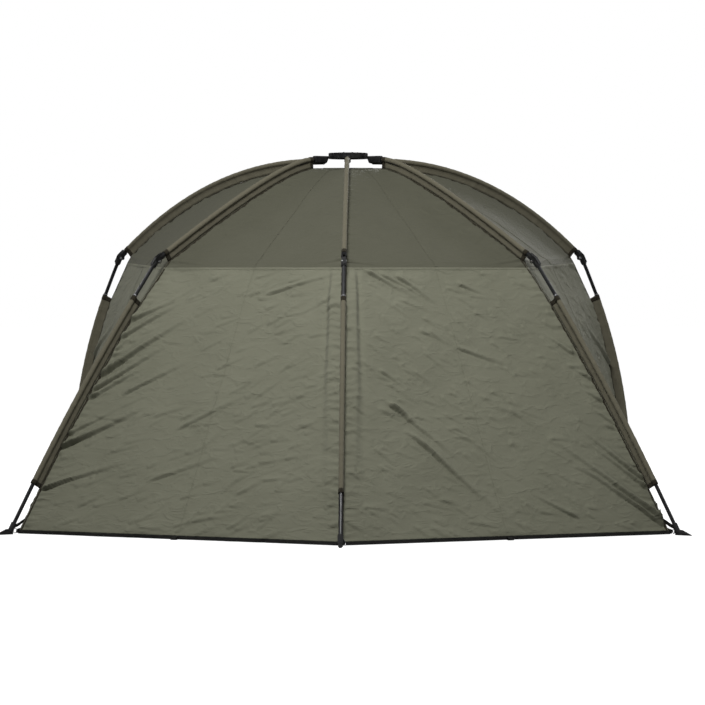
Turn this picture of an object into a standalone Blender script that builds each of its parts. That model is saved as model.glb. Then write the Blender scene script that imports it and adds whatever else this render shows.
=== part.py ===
"""Hub bivvy tent: five folding ribs on one hub, with a cloth canopy held inside them.

Metres, +Z up. The ground is Z = 0, the rear faces -Y, and the origin is the middle of the ground
that the feet stand on. Everything is built round the hub's axis, which stands HUB_Y in front of it.
Every rib lies in its own upright plane through that axis. In that plane a point is (radius, height).
A rib is an upper tube that swings up about the hub's wire ring, and a leg that closes inwards about
the pin of its knuckle.
"""

import math

import bmesh
import bpy
from mathutils import Matrix, Vector

# Clearances
GAP = 0.0003
RUNNING_GAP = 0.0006
OVERRUN = 0.01

# Tubes of the ribs
TUBE_RADIUS = 0.008
TUBE_WALL = 0.0012

# Hub: a slotted body under a notched cap
HUB_TOP = 1.596
HUB_RADIUS = 0.086
HUB_BODY_HEIGHT = 0.017
HUB_CAP_HEIGHT = 0.0107
HUB_RECESS_RADIUS = 0.046
HUB_RECESS_DEPTH = 0.009
HUB_EDGE_BEVEL = 0.002
CAP_BOSS_RADIUS = 0.03
CAP_BOSS_DROP = 0.002
PIVOT_RADIUS = 0.074
PIVOT_ABOVE_BASE = 0.0105
RING_RADIUS = 0.003
RING_STRAIGHT = 0.036
NOTCH_INWARD = 0.012

# Rib block: the moulding that carries a tube on the hub's ring
BLOCK_TONGUE = 0.012
BLOCK_EYE_RADIUS = 0.007
BLOCK_START = 0.04
BLOCK_LENGTH = 0.072
BLOCK_WIDTH = 0.027
BLOCK_HEIGHT = 0.032
BLOCK_DROP = 0.0005
BLOCK_BEVEL = 0.004
BLOCK_END_WALL = 0.014
BLOCK_EYE_HOLE = 0.0055

# Knuckle: a fork on the upper tube, a tongue on the leg and a pin with two heads
COLLAR_RADIUS = 0.0115
COLLAR_START = 0.013
COLLAR_END = 0.036
COLLAR_FLOOR = 0.004
KNUCKLE_EYE_RADIUS = 0.0085
KNUCKLE_TONGUE = 0.009
KNUCKLE_NECK_RISE = 0.0025
KNUCKLE_NECK_SHY = 0.005
KNUCKLE_PROUD = 0.0015
KNUCKLE_STOP_SHY = 0.0005
KNUCKLE_CHEEK = 0.004
KNUCKLE_PIN_RADIUS = 0.003
KNUCKLE_PIN_HEAD_RADIUS = 0.0055
KNUCKLE_PIN_HEAD = 0.0016
STRAIGHT_END = 0.07

# Rear ribs, then front ribs, in their own planes
REAR_KNUCKLE_RADIUS = 1.008
REAR_KNUCKLE_HEIGHT = 1.126
REAR_FOOT_RADIUS = 1.742
FRONT_KNUCKLE_RADIUS = 1.209
FRONT_KNUCKLE_HEIGHT = 1.145
FRONT_FOOT_RADIUS = 1.47
REAR_SLOPE_SHARE = 1.248
REAR_LEG_BEND = 6.7
FRONT_SLOPE_SHARE = 2.06
FRONT_LEG_BEND = 27

# Feet
FOOT_CUP_RADIUS = 0.0115
FOOT_CUP_START = 0.012
FOOT_CUP_END = 0.052
FOOT_CUP_FLOOR = 0.01
FOOT_HALF_WIDTH = 0.0095
FOOT_HEEL = 0.015
FOOT_TOE = 0.06
FOOT_TOE_HEIGHT = 0.004
FOOT_TIP_SHARE = 0.4
FOOT_INSTEP = 0.022

# Sleeves: cloth round the tubes, on a web that is sewn to the canopy's seam
SLEEVE_WALL = 0.0018
SLEEVE_SLACK = 0.0006
WEB_WIDTH = 0.004
NECK_SHARE = 0.8
SEAM_DROP = 0.04
SLEEVE_FROM_BLOCK = 0.008
SLEEVE_FROM_KNUCKLE = 0.042
BARE_UNDER_KNUCKLE = 0.196
BARE_ABOVE_FOOT = 0.235

# Canopy
CLOTH = 0.0012
CROWN_RADIUS = 0.006
CROWN_DROP = 0.07
HEM_HEIGHT = 0.012
CREASE_DROP = 0.051
ROOF_SAG = 0.022
WALL_SAG = 0.03
INSIDE_HEIGHT = 0.7

# Zip sliders on the front panel
ZIP_INSET = 0.032
ZIP_BOTTOM = 0.14
SLIDER_WIDTH = 0.012
SLIDER_LENGTH = 0.018
SLIDER_HEIGHT = 0.006
SLIDER_BEVEL = 0.0015
PULL_WIDTH = 0.008
PULL_LENGTH = 0.034
PULL_THICK = 0.0018

# Counts and angles
TUBE_SIDES = 10
ROUND_SIDES = 12
SMALL_SIDES = 8
UPPER_STATIONS = 7
LEG_STATIONS = 5
PANEL_COLUMNS = 6
DENSE = 60
REAR_SIDE_BEARING = 51.8
FRONT_BEARING = 120

RIB_PLACES = {
    "rear_centre": (0, "rear"),
    "rear_right": (REAR_SIDE_BEARING, "rear"),
    "front_right": (FRONT_BEARING, "front"),
    "front_left": (-FRONT_BEARING, "front"),
    "rear_left": (-REAR_SIDE_BEARING, "rear"),
}

HUB_BASE = HUB_TOP - HUB_CAP_HEIGHT - GAP - HUB_BODY_HEIGHT
PIVOT_HEIGHT = HUB_BASE + PIVOT_ABOVE_BASE
TUBE_HEIGHT = PIVOT_HEIGHT - BLOCK_DROP - BLOCK_HEIGHT / 2
REAR_REACH = REAR_FOOT_RADIUS + FOOT_TOE
FRONT_TURN = math.radians(180 - FRONT_BEARING)
FRONT_TIP = FRONT_FOOT_RADIUS + FOOT_TOE
FRONT_REACH = FRONT_TIP * math.cos(FRONT_TURN) + FOOT_HALF_WIDTH * math.sin(FRONT_TURN)
HUB_Y = (REAR_REACH - FRONT_REACH) / 2
BLOCK_INNER = PIVOT_RADIUS + BLOCK_START
BLOCK_OUTER = BLOCK_INNER + BLOCK_LENGTH
SLOT_WIDTH = BLOCK_TONGUE + 2 * RUNNING_GAP


def material(name, colour, roughness, metallic=0.0):
    made = bpy.data.materials.new(name)
    made.use_nodes = True
    shader = made.node_tree.nodes["Principled BSDF"]
    shader.inputs["Base Color"].default_value = (*colour, 1)
    shader.inputs["Roughness"].default_value = roughness
    shader.inputs["Metallic"].default_value = metallic
    return made


def build_object(name, mesh, paint, parent=None, matrix=None):
    made = bpy.data.objects.new(name, mesh)
    bpy.context.scene.collection.objects.link(made)
    if paint is not None and not mesh.materials:
        mesh.materials.append(paint)
    made.parent = parent
    if matrix is not None:
        made.matrix_local = matrix
    return made


def guide(name, bm, parent=None, matrix=None):
    """A hidden object that a Boolean modifier reads."""
    made = build_object(name, finish(name, bm, False), None, parent, matrix)
    made.hide_render = True
    made.display_type = "WIRE"
    return made


def finish(name, bm, smooth=True):
    bmesh.ops.recalc_face_normals(bm, faces=bm.faces)
    mesh = bpy.data.meshes.new(name)
    bm.to_mesh(mesh)
    bm.free()
    if smooth:
        mesh.shade_smooth()
        mesh.set_sharp_from_angle(angle=math.radians(35))
    return mesh


def combine(target, other, operation):
    step = target.modifiers.new(f"{operation.lower()} {other.name}", "BOOLEAN")
    step.operation = operation
    step.solver = "EXACT"
    step.object = other


def bevel(target, width):
    step = target.modifiers.new("edges", "BEVEL")
    step.width = width
    step.segments = 1
    step.limit_method = "ANGLE"
    step.angle_limit = math.radians(50)


def rod(bm, start, end, radius, sides):
    """A closed cylinder between two points."""
    axis = end - start
    frame = axis.to_track_quat("Z", "Y").to_matrix().to_4x4()
    bmesh.ops.create_cone(
        bm,
        cap_ends=True,
        segments=sides,
        radius1=radius,
        radius2=radius,
        depth=axis.length,
        matrix=Matrix.Translation((start + end) / 2) @ frame,
    )


def bore(radius, sides):
    """The radius of a faceted bore whose flats clear a round piece of that radius by the gap."""
    return (radius + GAP) / math.cos(math.pi / sides)


def plate(bm, outline, low, high):
    """Extrudes a closed (x, z) outline along Y from low to high."""
    near = [bm.verts.new((x, low, z)) for x, z in outline]
    far = [bm.verts.new((x, high, z)) for x, z in outline]
    bm.faces.new(near)
    bm.faces.new(far)
    for i in range(len(outline)):
        j = (i + 1) % len(outline)
        bm.faces.new((near[i], near[j], far[j], far[i]))


def box(bm, low, high):
    outline = [(low[0], low[2]), (high[0], low[2]), (high[0], high[2]), (low[0], high[2])]
    plate(bm, outline, low[1], high[1])


def turned(bm, profile, sides):
    """Turns an outline of (radius, height), whose ends lie on the axis, about Z."""
    rings = []
    for i in range(sides):
        around = Matrix.Rotation(math.tau * i / sides, 3, "Z")
        rings.append([bm.verts.new(around @ Vector((r, 0, z))) for r, z in profile[1:-1]])
    low = bm.verts.new((0, 0, profile[0][1]))
    high = bm.verts.new((0, 0, profile[-1][1]))
    for i in range(sides):
        here, there = rings[i], rings[(i + 1) % sides]
        bm.faces.new((low, here[0], there[0]))
        bm.faces.new((high, there[-1], here[-1]))
        for k in range(len(here) - 1):
            bm.faces.new((here[k], here[k + 1], there[k + 1], there[k]))


def arc(radius, first, last, steps):
    """Points (x, z) about the origin, with angles in degrees from +X towards +Z."""
    turns = [math.radians(first + (last - first) * i / steps) for i in range(steps + 1)]
    return [(radius * math.cos(a), radius * math.sin(a)) for a in turns]


def slope_direction(degrees):
    """A unit vector in a rib's plane that points outwards, and down by that angle."""
    return Vector((math.cos(math.radians(degrees)), -math.sin(math.radians(degrees))))


def outward_of(direction):
    return Vector((-direction.y, direction.x))


def crossing(start, along, end, back):
    """Where the line from start meets the line through end."""
    offset = end - start
    share = (offset.x * back.y - offset.y * back.x) / (along.x * back.y - along.y * back.x)
    return start + along * share


def steps(first, last, count):
    return [first + (last - first) * i / (count - 1) for i in range(count)]


class Path:
    """A tube's centreline, read by its distance from its start."""

    def __init__(self, corners, bent):
        before, start, control, end, after = corners
        self.points = [before]
        for i in range(DENSE + 1):
            t = i / DENSE
            straight, curved = start.lerp(end, t), start.lerp(control, t).lerp(control.lerp(end, t), t)
            self.points.append(curved if bent else straight)
        self.points.append(after)
        self.reach = [0.0]
        for a, b in zip(self.points, self.points[1:]):
            self.reach.append(self.reach[-1] + (b - a).length)
        self.length = self.reach[-1]

    def station(self, distance):
        """The point at a distance, and the direction that faces away from the canopy there."""
        i = 0
        while i < len(self.points) - 2 and self.reach[i + 1] < distance:
            i += 1
        a, b = self.points[i], self.points[i + 1]
        share = (distance - self.reach[i]) / (self.reach[i + 1] - self.reach[i])
        return a.lerp(b, share), outward_of((b - a).normalized())


class Rib:
    """The shape that the ribs of one kind share, in the rib's plane."""

    def __init__(self, kind):
        rear = kind == "rear"
        radius = REAR_KNUCKLE_RADIUS if rear else FRONT_KNUCKLE_RADIUS
        height = REAR_KNUCKLE_HEIGHT if rear else FRONT_KNUCKLE_HEIGHT
        foot = REAR_FOOT_RADIUS if rear else FRONT_FOOT_RADIUS
        slope_share = REAR_SLOPE_SHARE if rear else FRONT_SLOPE_SHARE
        slope = math.degrees(math.atan2(slope_share * (TUBE_HEIGHT - height), radius - BLOCK_OUTER))
        leg_bend = REAR_LEG_BEND if rear else FRONT_LEG_BEND
        self.knee = Vector((radius, height))
        self.foot = Vector((foot, 0))
        chord = math.degrees(math.atan2(height, foot - radius))
        self.into = slope_direction(slope)
        self.down = slope_direction(chord - leg_bend / 2)
        self.last = slope_direction(chord + leg_bend / 2)
        self.bend = chord - leg_bend / 2 - slope
        self.outer = (outward_of(self.into) + outward_of(self.down)).normalized()
        half = math.radians(self.bend / 2)
        self.knuckle = self.knee - self.outer * (COLLAR_RADIUS / math.cos(half))
        self.knee_slack = COLLAR_RADIUS * math.tan(half)
        self.crease = self.knee - self.outer * CREASE_DROP

        inner = Vector((BLOCK_INNER + BLOCK_END_WALL, TUBE_HEIGHT))
        level = Vector((BLOCK_OUTER, TUBE_HEIGHT))
        before = self.knee - self.into * STRAIGHT_END
        bend_at = crossing(level, Vector((1, 0)), before, self.into)
        self.upper = Path((inner, level, bend_at, before, self.knee), True)

        start = self.knee + self.down * STRAIGHT_END
        end = self.foot - self.last * STRAIGHT_END
        bowed = leg_bend != 0
        leg_at = crossing(start, self.down, end, self.last) if bowed else start
        self.leg = Path((self.knee, start, leg_at, end, self.foot), bowed)

        in_block = BLOCK_LENGTH - BLOCK_END_WALL
        in_collar = COLLAR_START + COLLAR_FLOOR + self.knee_slack
        in_foot = FOOT_CUP_START + FOOT_CUP_FLOOR
        straight = self.upper.length - STRAIGHT_END
        cut = self.upper.length - self.knee_slack - SLEEVE_FROM_KNUCKLE
        upper = steps(in_block + SLEEVE_FROM_BLOCK, straight, UPPER_STATIONS) + [cut]
        leg = steps(BARE_UNDER_KNUCKLE, self.leg.length - BARE_ABOVE_FOOT, LEG_STATIONS)
        self.upper_sleeve = [self.upper.station(d) for d in upper]
        self.leg_sleeve = [self.leg.station(d) for d in leg]
        upper = [0, in_block] + upper + [self.upper.length - in_collar]
        leg = [in_collar, STRAIGHT_END] + leg + [self.leg.length - STRAIGHT_END, self.leg.length - in_foot]
        self.upper_tube = [self.upper.station(d) for d in upper]
        self.leg_tube = [self.leg.station(d) for d in leg]

    def hem_corner(self):
        """Where the seam beside the leg comes down to the hem."""
        outward = outward_of(self.last)
        beside = self.foot - outward * SEAM_DROP
        rise = (HEM_HEIGHT - beside.y) / -self.last.y
        return beside - self.last * rise

    def roof_seam(self):
        """From the sleeve's start to the crease."""
        return [p - n * SEAM_DROP for p, n in self.upper_sleeve] + [self.crease]

    def wall_seam(self):
        """From the crease to the hem."""
        return [self.crease] + [p - n * SEAM_DROP for p, n in self.leg_sleeve] + [self.hem_corner()]


def sweep(bm, stations, outline, hole, origin):
    """Carries an outline with a hole, as (across, outward) points, along stations in a rib's plane."""
    rings = []
    for point, outward in stations:
        ring = []
        for loop in (outline, hole):
            places = [(point + outward * out, across) for across, out in loop]
            ring.append([bm.verts.new((p.x - origin.x, y, p.y - origin.y)) for p, y in places])
        rings.append(ring)
    count = len(outline)
    for i in range(count):
        j = (i + 1) % count
        for here, there in zip(rings, rings[1:]):
            for loop in (0, 1):
                bm.faces.new((here[loop][i], here[loop][j], there[loop][j], there[loop][i]))
        for end in (rings[0], rings[-1]):
            bm.faces.new((end[0][i], end[0][j], end[1][j], end[1][i]))


def circle(radius, sides):
    turns = [math.tau * (i + 0.5) / sides for i in range(sides)]
    return [(radius * math.sin(a), radius * math.cos(a)) for a in turns]


def tube_mesh(name, stations, origin):
    bm = bmesh.new()
    inner = circle(TUBE_RADIUS - TUBE_WALL, TUBE_SIDES)
    sweep(bm, stations, circle(TUBE_RADIUS, TUBE_SIDES), inner, origin)
    return finish(name, bm)


def sleeve_mesh(name, stations, origin):
    """A pocket round the tube that narrows into a flat web."""
    bore = TUBE_RADIUS + SLEEVE_SLACK
    outer = bore + SLEEVE_WALL
    web_foot = -(SEAM_DROP - CLOTH - GAP)
    outline = circle(outer, TUBE_SIDES)
    lowest = TUBE_SIDES // 2
    half = WEB_WIDTH / 2
    outline[lowest - 1] = (half, web_foot)
    outline[lowest] = (-half, web_foot)
    neck = outline[lowest - 2]
    outline[lowest - 2] = (neck[0] * NECK_SHARE, neck[1])
    outline[lowest + 1] = (-neck[0] * NECK_SHARE, neck[1])
    hole = circle(bore, TUBE_SIDES)
    bm = bmesh.new()
    sweep(bm, stations, outline, hole, origin)
    return finish(name, bm)


def hub_body(paint, root):
    """A turned disc with a recess below, a slot for each rib's tongue and a groove for the ring."""
    base, top, edge = HUB_BASE, HUB_BASE + HUB_BODY_HEIGHT, HUB_EDGE_BEVEL
    profile = [
        (0, base + HUB_RECESS_DEPTH),
        (HUB_RECESS_RADIUS - edge, base + HUB_RECESS_DEPTH),
        (HUB_RECESS_RADIUS, base),
        (HUB_RADIUS - edge, base),
        (HUB_RADIUS, base + edge),
        (HUB_RADIUS, top),
        (0, top),
    ]
    bm = bmesh.new()
    turned(bm, profile, 2 * ROUND_SIDES)
    made = build_object("hub_body", finish("hub_body", bm), paint, root)
    floor = PIVOT_HEIGHT - BLOCK_EYE_RADIUS - RUNNING_GAP
    inner = PIVOT_RADIUS - BLOCK_EYE_RADIUS - RUNNING_GAP
    slots, groove = bmesh.new(), bmesh.new()
    for bearing, _ in RIB_PLACES.values():
        low = (inner, -SLOT_WIDTH / 2, floor)
        high = (HUB_RADIUS + OVERRUN, SLOT_WIDTH / 2, top + OVERRUN)
        box_in(slots, rib_frame(bearing), low, high)
    half = RING_RADIUS + GAP
    rise = HUB_BODY_HEIGHT
    ring_sweep(groove, [(half, -half), (half, rise), (-half, rise), (-half, -half)])
    combine(made, guide("slot_cutter", slots, root), "DIFFERENCE")
    combine(made, guide("groove_cutter", groove, root), "DIFFERENCE")
    return made


def hub_cap(paint, root):
    """The upper plate, with a low boss and a notch where each rib swings up."""
    base = HUB_TOP - HUB_CAP_HEIGHT
    shoulder = HUB_TOP - CAP_BOSS_DROP
    profile = [
        (0, base),
        (HUB_RADIUS, base),
        (HUB_RADIUS, shoulder - HUB_EDGE_BEVEL),
        (HUB_RADIUS - HUB_EDGE_BEVEL, shoulder),
        (CAP_BOSS_RADIUS + CAP_BOSS_DROP, shoulder),
        (CAP_BOSS_RADIUS, HUB_TOP),
        (0, HUB_TOP),
    ]
    bm = bmesh.new()
    turned(bm, profile, 2 * ROUND_SIDES)
    made = build_object("hub_cap", finish("hub_cap", bm), paint, root)
    notches = bmesh.new()
    inner = PIVOT_RADIUS - NOTCH_INWARD
    for bearing, _ in RIB_PLACES.values():
        low = (inner, -SLOT_WIDTH / 2, base - OVERRUN)
        high = (HUB_RADIUS + OVERRUN, SLOT_WIDTH / 2, HUB_TOP + OVERRUN)
        box_in(notches, rib_frame(bearing), low, high)
    combine(made, guide("notch_cutter", notches, root), "DIFFERENCE")
    return made


def ring_sweep(bm, outline):
    """Carries an (outward, up) outline round the ring, which runs straight through each rib's eye."""
    corners = []
    for bearing, _ in RIB_PLACES.values():
        for across in (-RING_STRAIGHT / 2, RING_STRAIGHT / 2):
            corners.append(rib_frame(bearing) @ Vector((PIVOT_RADIUS, across, PIVOT_HEIGHT)))
    rings = []
    for i, corner in enumerate(corners):
        back = (corner - corners[i - 1]).normalized()
        ahead = (corners[(i + 1) % len(corners)] - corner).normalized()
        first, second = Vector((back.y, -back.x, 0)), Vector((ahead.y, -ahead.x, 0))
        mitre = (first + second) / (1 + first.dot(second))
        rings.append([bm.verts.new(corner + mitre * out + Vector((0, 0, up))) for out, up in outline])
    for i, here in enumerate(rings):
        there = rings[(i + 1) % len(rings)]
        for k in range(len(outline)):
            m = (k + 1) % len(outline)
            bm.faces.new((here[k], here[m], there[m], there[k]))


def hub_ring(paint, root):
    """The wire that all five eyes are strung on, bent round the hub and joined into a ring."""
    bm = bmesh.new()
    ring_sweep(bm, circle(RING_RADIUS, SMALL_SIDES))
    return build_object("hub_ring", finish("hub_ring", bm), paint, root)


def rib_frame(bearing):
    """A rib's plane round the hub's axis: X outwards, Z up. The bearing turns from the rear to +X."""
    return Matrix.Rotation(math.radians(bearing - 90), 4, "Z")


def box_in(bm, frame, low, high):
    """A box whose corners are given in a rib's frame."""
    before = set(bm.verts)
    box(bm, low, high)
    bmesh.ops.transform(bm, matrix=frame, verts=[v for v in bm.verts if v not in before])


def rib_block(name, paint, parent):
    """An eye on the hub's ring, a tongue, and a bevelled body bored for the tube, with a hole across it."""
    top = -BLOCK_DROP
    low = top - BLOCK_HEIGHT
    end = BLOCK_START + BLOCK_LENGTH
    bm = bmesh.new()
    shoulder = BLOCK_HEIGHT / 3
    outline = [
        (BLOCK_START, top),
        (BLOCK_START, top - shoulder),
        (BLOCK_START + shoulder, low),
        (end, low),
        (end, top),
    ]
    plate(bm, outline, -BLOCK_WIDTH / 2, BLOCK_WIDTH / 2)
    made = build_object(name, finish(name, bm), paint, parent)
    bevel(made, BLOCK_BEVEL)

    tongue = bmesh.new()
    neck = BLOCK_START + BLOCK_BEVEL * 2
    eye = arc(BLOCK_EYE_RADIUS, 60, 270, 7)
    stem = [(neck, -BLOCK_EYE_RADIUS), (neck, top), (BLOCK_START / 2, top)]
    plate(tongue, eye + stem, -BLOCK_TONGUE / 2, BLOCK_TONGUE / 2)
    combine(made, guide(f"{name}_tongue", tongue, parent), "UNION")

    centre = TUBE_HEIGHT - PIVOT_HEIGHT
    cuts = bmesh.new()
    across = Vector((0, BLOCK_WIDTH, 0))
    rod(cuts, -across, across, bore(RING_RADIUS, SMALL_SIDES), SMALL_SIDES)
    bore_start = Vector((BLOCK_START + BLOCK_END_WALL - GAP, 0, centre))
    bore_end = Vector((end + OVERRUN, 0, centre))
    rod(cuts, bore_start, bore_end, bore(TUBE_RADIUS, ROUND_SIDES), ROUND_SIDES)
    combine(made, guide(f"{name}_cutter", cuts, parent), "DIFFERENCE")

    hole = bmesh.new()
    at = Vector((BLOCK_START + BLOCK_END_WALL / 2, 0, -BLOCK_EYE_RADIUS))
    rod(hole, at - across, at + across, BLOCK_EYE_HOLE / 2, SMALL_SIDES)
    combine(made, guide(f"{name}_hole", hole, parent), "DIFFERENCE")
    return made


def knuckle_outline(bend, top, rise, face):
    """An eye on the knuckle's pin, its neck into the collar, and the stop's face above it."""
    tilt = 90 + bend / 2
    eye = arc(KNUCKLE_EYE_RADIUS, tilt, 340, 8)
    lean = math.tan(math.radians(bend / 2))
    stop = [(face - top * lean, top), (face - KNUCKLE_EYE_RADIUS * lean, KNUCKLE_EYE_RADIUS)]
    end = COLLAR_END - KNUCKLE_NECK_SHY
    neck = [(COLLAR_START, rise), (end, rise), (end, top)]
    return eye[1:] + neck + stop


def shoulder_outline(bend, top):
    """The part of a half that meets its neighbour's cheeks at the stop, clear of their eyes."""
    reach = KNUCKLE_EYE_RADIUS + RUNNING_GAP
    lean = math.tan(math.radians(bend / 2))
    under = arc(reach, 82, 10, 4)
    end = COLLAR_END - KNUCKLE_NECK_SHY
    stop = [(GAP - top * lean, top), (GAP - reach * lean, reach)]
    return stop + under + [(end, under[-1][1]), (end, top)]


def knuckle_half(name, paint, parent, matrix, bend, forked):
    """A collar that holds a tube, with two cheeks (the fork) or one tongue between them."""
    bm = bmesh.new()
    start, end = Vector((COLLAR_START, 0, COLLAR_RADIUS)), Vector((COLLAR_END, 0, COLLAR_RADIUS))
    rod(bm, start, end, COLLAR_RADIUS, ROUND_SIDES)
    made = build_object(name, finish(name, bm), paint, parent, matrix)
    inner = KNUCKLE_TONGUE / 2
    near = inner + RUNNING_GAP / 2
    far = near + KNUCKLE_CHEEK
    top = 2 * COLLAR_RADIUS + KNUCKLE_PROUD
    plates = bmesh.new()
    if forked:
        cheek = knuckle_outline(bend, top, 0, GAP)
        plate(plates, cheek, near, far)
        plate(plates, cheek, -far, -near)
    else:
        tongue = knuckle_outline(bend, COLLAR_RADIUS, KNUCKLE_NECK_RISE, GAP + KNUCKLE_STOP_SHY)
        plate(plates, tongue, -inner, inner)
        shoulder = bmesh.new()
        plate(shoulder, shoulder_outline(bend, top), -far, far)
        combine(made, guide(f"{name}_shoulder", shoulder, parent, matrix), "UNION")
    combine(made, guide(f"{name}_plates", plates, parent, matrix), "UNION")
    cuts = bmesh.new()
    floor = Vector((COLLAR_START + COLLAR_FLOOR - GAP, 0, COLLAR_RADIUS))
    beyond = Vector((COLLAR_END + OVERRUN, 0, COLLAR_RADIUS))
    rod(cuts, floor, beyond, bore(TUBE_RADIUS, ROUND_SIDES), ROUND_SIDES)
    across = Vector((0, 2 * COLLAR_RADIUS, 0))
    rod(cuts, -across, across, bore(KNUCKLE_PIN_RADIUS, SMALL_SIDES), SMALL_SIDES)
    combine(made, guide(f"{name}_cutter", cuts, parent, matrix), "DIFFERENCE")
    return made


def knuckle_pin_mesh():
    half = KNUCKLE_TONGUE / 2 + RUNNING_GAP / 2 + KNUCKLE_CHEEK + GAP
    tip = half + KNUCKLE_PIN_HEAD
    shy = KNUCKLE_PIN_HEAD_RADIUS - KNUCKLE_PIN_HEAD / 2
    profile = [
        (0, -tip),
        (shy, -tip),
        (KNUCKLE_PIN_HEAD_RADIUS, -half - KNUCKLE_PIN_HEAD / 2),
        (KNUCKLE_PIN_HEAD_RADIUS, -half),
        (KNUCKLE_PIN_RADIUS, -half),
        (KNUCKLE_PIN_RADIUS, half),
        (KNUCKLE_PIN_HEAD_RADIUS, half),
        (KNUCKLE_PIN_HEAD_RADIUS, half + KNUCKLE_PIN_HEAD / 2),
        (shy, tip),
        (0, tip),
    ]
    bm = bmesh.new()
    turned(bm, profile, SMALL_SIDES)
    bmesh.ops.rotate(bm, verts=bm.verts, matrix=Matrix.Rotation(math.radians(90), 3, "X"))
    return finish("knuckle_pin", bm)


def foot(name, paint, parent, matrix, rib):
    """A cup on the tube's end, over a flat sole with a pointed toe."""
    up = Vector((-rib.last.x, 0, -rib.last.y))
    bm = bmesh.new()
    rod(bm, up * FOOT_CUP_START, up * FOOT_CUP_END, FOOT_CUP_RADIUS, ROUND_SIDES)
    made = build_object(name, finish(name, bm), paint, parent, matrix)
    sole = bmesh.new()
    outline = [
        (-FOOT_HEEL, 0),
        (FOOT_TOE - FOOT_TOE_HEIGHT, 0),
        (FOOT_TOE, FOOT_TOE_HEIGHT / 3),
        (FOOT_TOE - FOOT_TOE_HEIGHT, FOOT_TOE_HEIGHT),
        (FOOT_CUP_START, FOOT_INSTEP),
        (-FOOT_CUP_START, FOOT_INSTEP),
        (-FOOT_HEEL, FOOT_CUP_START),
    ]
    plate(sole, outline, -FOOT_HALF_WIDTH, FOOT_HALF_WIDTH)
    for corner in sole.verts:
        if corner.co.x > FOOT_CUP_START:
            corner.co.y *= FOOT_TIP_SHARE
    combine(made, guide(f"{name}_sole", sole, parent, matrix), "UNION")
    cuts = bmesh.new()
    floor = FOOT_CUP_START + FOOT_CUP_FLOOR - GAP
    rod(cuts, up * floor, up * (FOOT_CUP_END + OVERRUN), bore(TUBE_RADIUS, ROUND_SIDES), ROUND_SIDES)
    combine(made, guide(f"{name}_cutter", cuts, parent, matrix), "DIFFERENCE")
    return made


def plane_frame(x_axis, z_axis, at):
    """Matrix whose X and Z follow two directions of a rib's plane, at a place in that plane."""
    x = Vector((x_axis.x, 0, x_axis.y))
    z = Vector((z_axis.x, 0, z_axis.y))
    turn = Matrix((x, z.cross(x), z)).transposed().to_4x4()
    return Matrix.Translation((at.x, 0, at.y)) @ turn


def empty(name, matrix, parent=None):
    made = bpy.data.objects.new(name, None)
    bpy.context.scene.collection.objects.link(made)
    made.parent = parent
    made.matrix_local = matrix
    return made


def rib_meshes(rib):
    """Meshes that all ribs of one kind share."""
    pivot = Vector((PIVOT_RADIUS, PIVOT_HEIGHT))
    return {
        "upper_tube": tube_mesh("upper_tube", rib.upper_tube, pivot),
        "lower_tube": tube_mesh("lower_tube", rib.leg_tube, rib.knuckle),
        "upper_sleeve": sleeve_mesh("upper_sleeve", rib.upper_sleeve, pivot),
        "lower_sleeve": sleeve_mesh("lower_sleeve", rib.leg_sleeve, rib.knuckle),
    }


def build_rib(place, bearing, rib, meshes, pin_mesh, paints, root):
    pivot = Vector((PIVOT_RADIUS, PIVOT_HEIGHT))
    at_hub = rib_frame(bearing) @ Matrix.Translation((pivot.x, 0, pivot.y))
    swing = empty(f"swing_axis_{place}", at_hub, root)
    offset = rib.knuckle - pivot
    knee = empty(f"knuckle_axis_{place}", Matrix.Translation((offset.x, 0, offset.y)), swing)
    rib_block(f"rib_block_{place}", paints["nylon"], swing)
    build_object(f"upper_tube_{place}", meshes["upper_tube"], paints["tube"], swing)
    build_object(f"upper_sleeve_{place}", meshes["upper_sleeve"], paints["sleeve"], swing)
    fork_at = plane_frame(-rib.into, outward_of(rib.into), offset)
    knuckle_half(f"knuckle_fork_{place}", paints["nylon"], swing, fork_at, rib.bend, True)
    pin_at = Matrix.Translation((offset.x, 0, offset.y))
    build_object(f"knuckle_pin_{place}", pin_mesh, paints["steel"], swing, pin_at)
    tongue_at = plane_frame(rib.down, outward_of(rib.down), Vector((0, 0)))
    knuckle_half(f"knuckle_tongue_{place}", paints["nylon"], knee, tongue_at, rib.bend, False)
    build_object(f"lower_tube_{place}", meshes["lower_tube"], paints["tube"], knee)
    build_object(f"lower_sleeve_{place}", meshes["lower_sleeve"], paints["sleeve"], knee)
    down = rib.foot - rib.knuckle
    foot(f"foot_{place}", paints["nylon"], knee, Matrix.Translation((down.x, 0, down.y)), rib)


def seam_points(seam, bearing, towards):
    """A seam round the hub's axis, moved off the rib's plane so that two panels have a gap."""
    frame = rib_frame(bearing)
    return [frame @ Vector((p.x, towards * GAP, p.y)) for p in seam]


def panel(name, left, right, sag, paint, root):
    """Cloth between two seams, drawn inwards between them, with its thickness outside."""
    bm = bmesh.new()
    rows = len(left)
    inside = Vector((0, 0, INSIDE_HEIGHT))
    grid = []
    for i in range(rows):
        down = i / (rows - 1)
        row = []
        for k in range(PANEL_COLUMNS + 1):
            t = k / PANEL_COLUMNS
            point = left[i].lerp(right[i], t)
            amount = sag * 4 * t * (1 - t) * math.sin(math.pi * down)
            row.append(bm.verts.new(point + (inside - point).normalized() * amount))
        grid.append(row)
    for i in range(rows - 1):
        for k in range(PANEL_COLUMNS):
            bm.faces.new((grid[i][k], grid[i + 1][k], grid[i + 1][k + 1], grid[i][k + 1]))
    bm.normal_update()
    mesh = bpy.data.meshes.new(name)
    bm.to_mesh(mesh)
    bm.free()
    mesh.shade_smooth()
    made = build_object(name, mesh, paint, root)
    step = made.modifiers.new("cloth", "SOLIDIFY")
    step.thickness = CLOTH
    step.offset = 1
    step.use_even_offset = True
    return made


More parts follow.
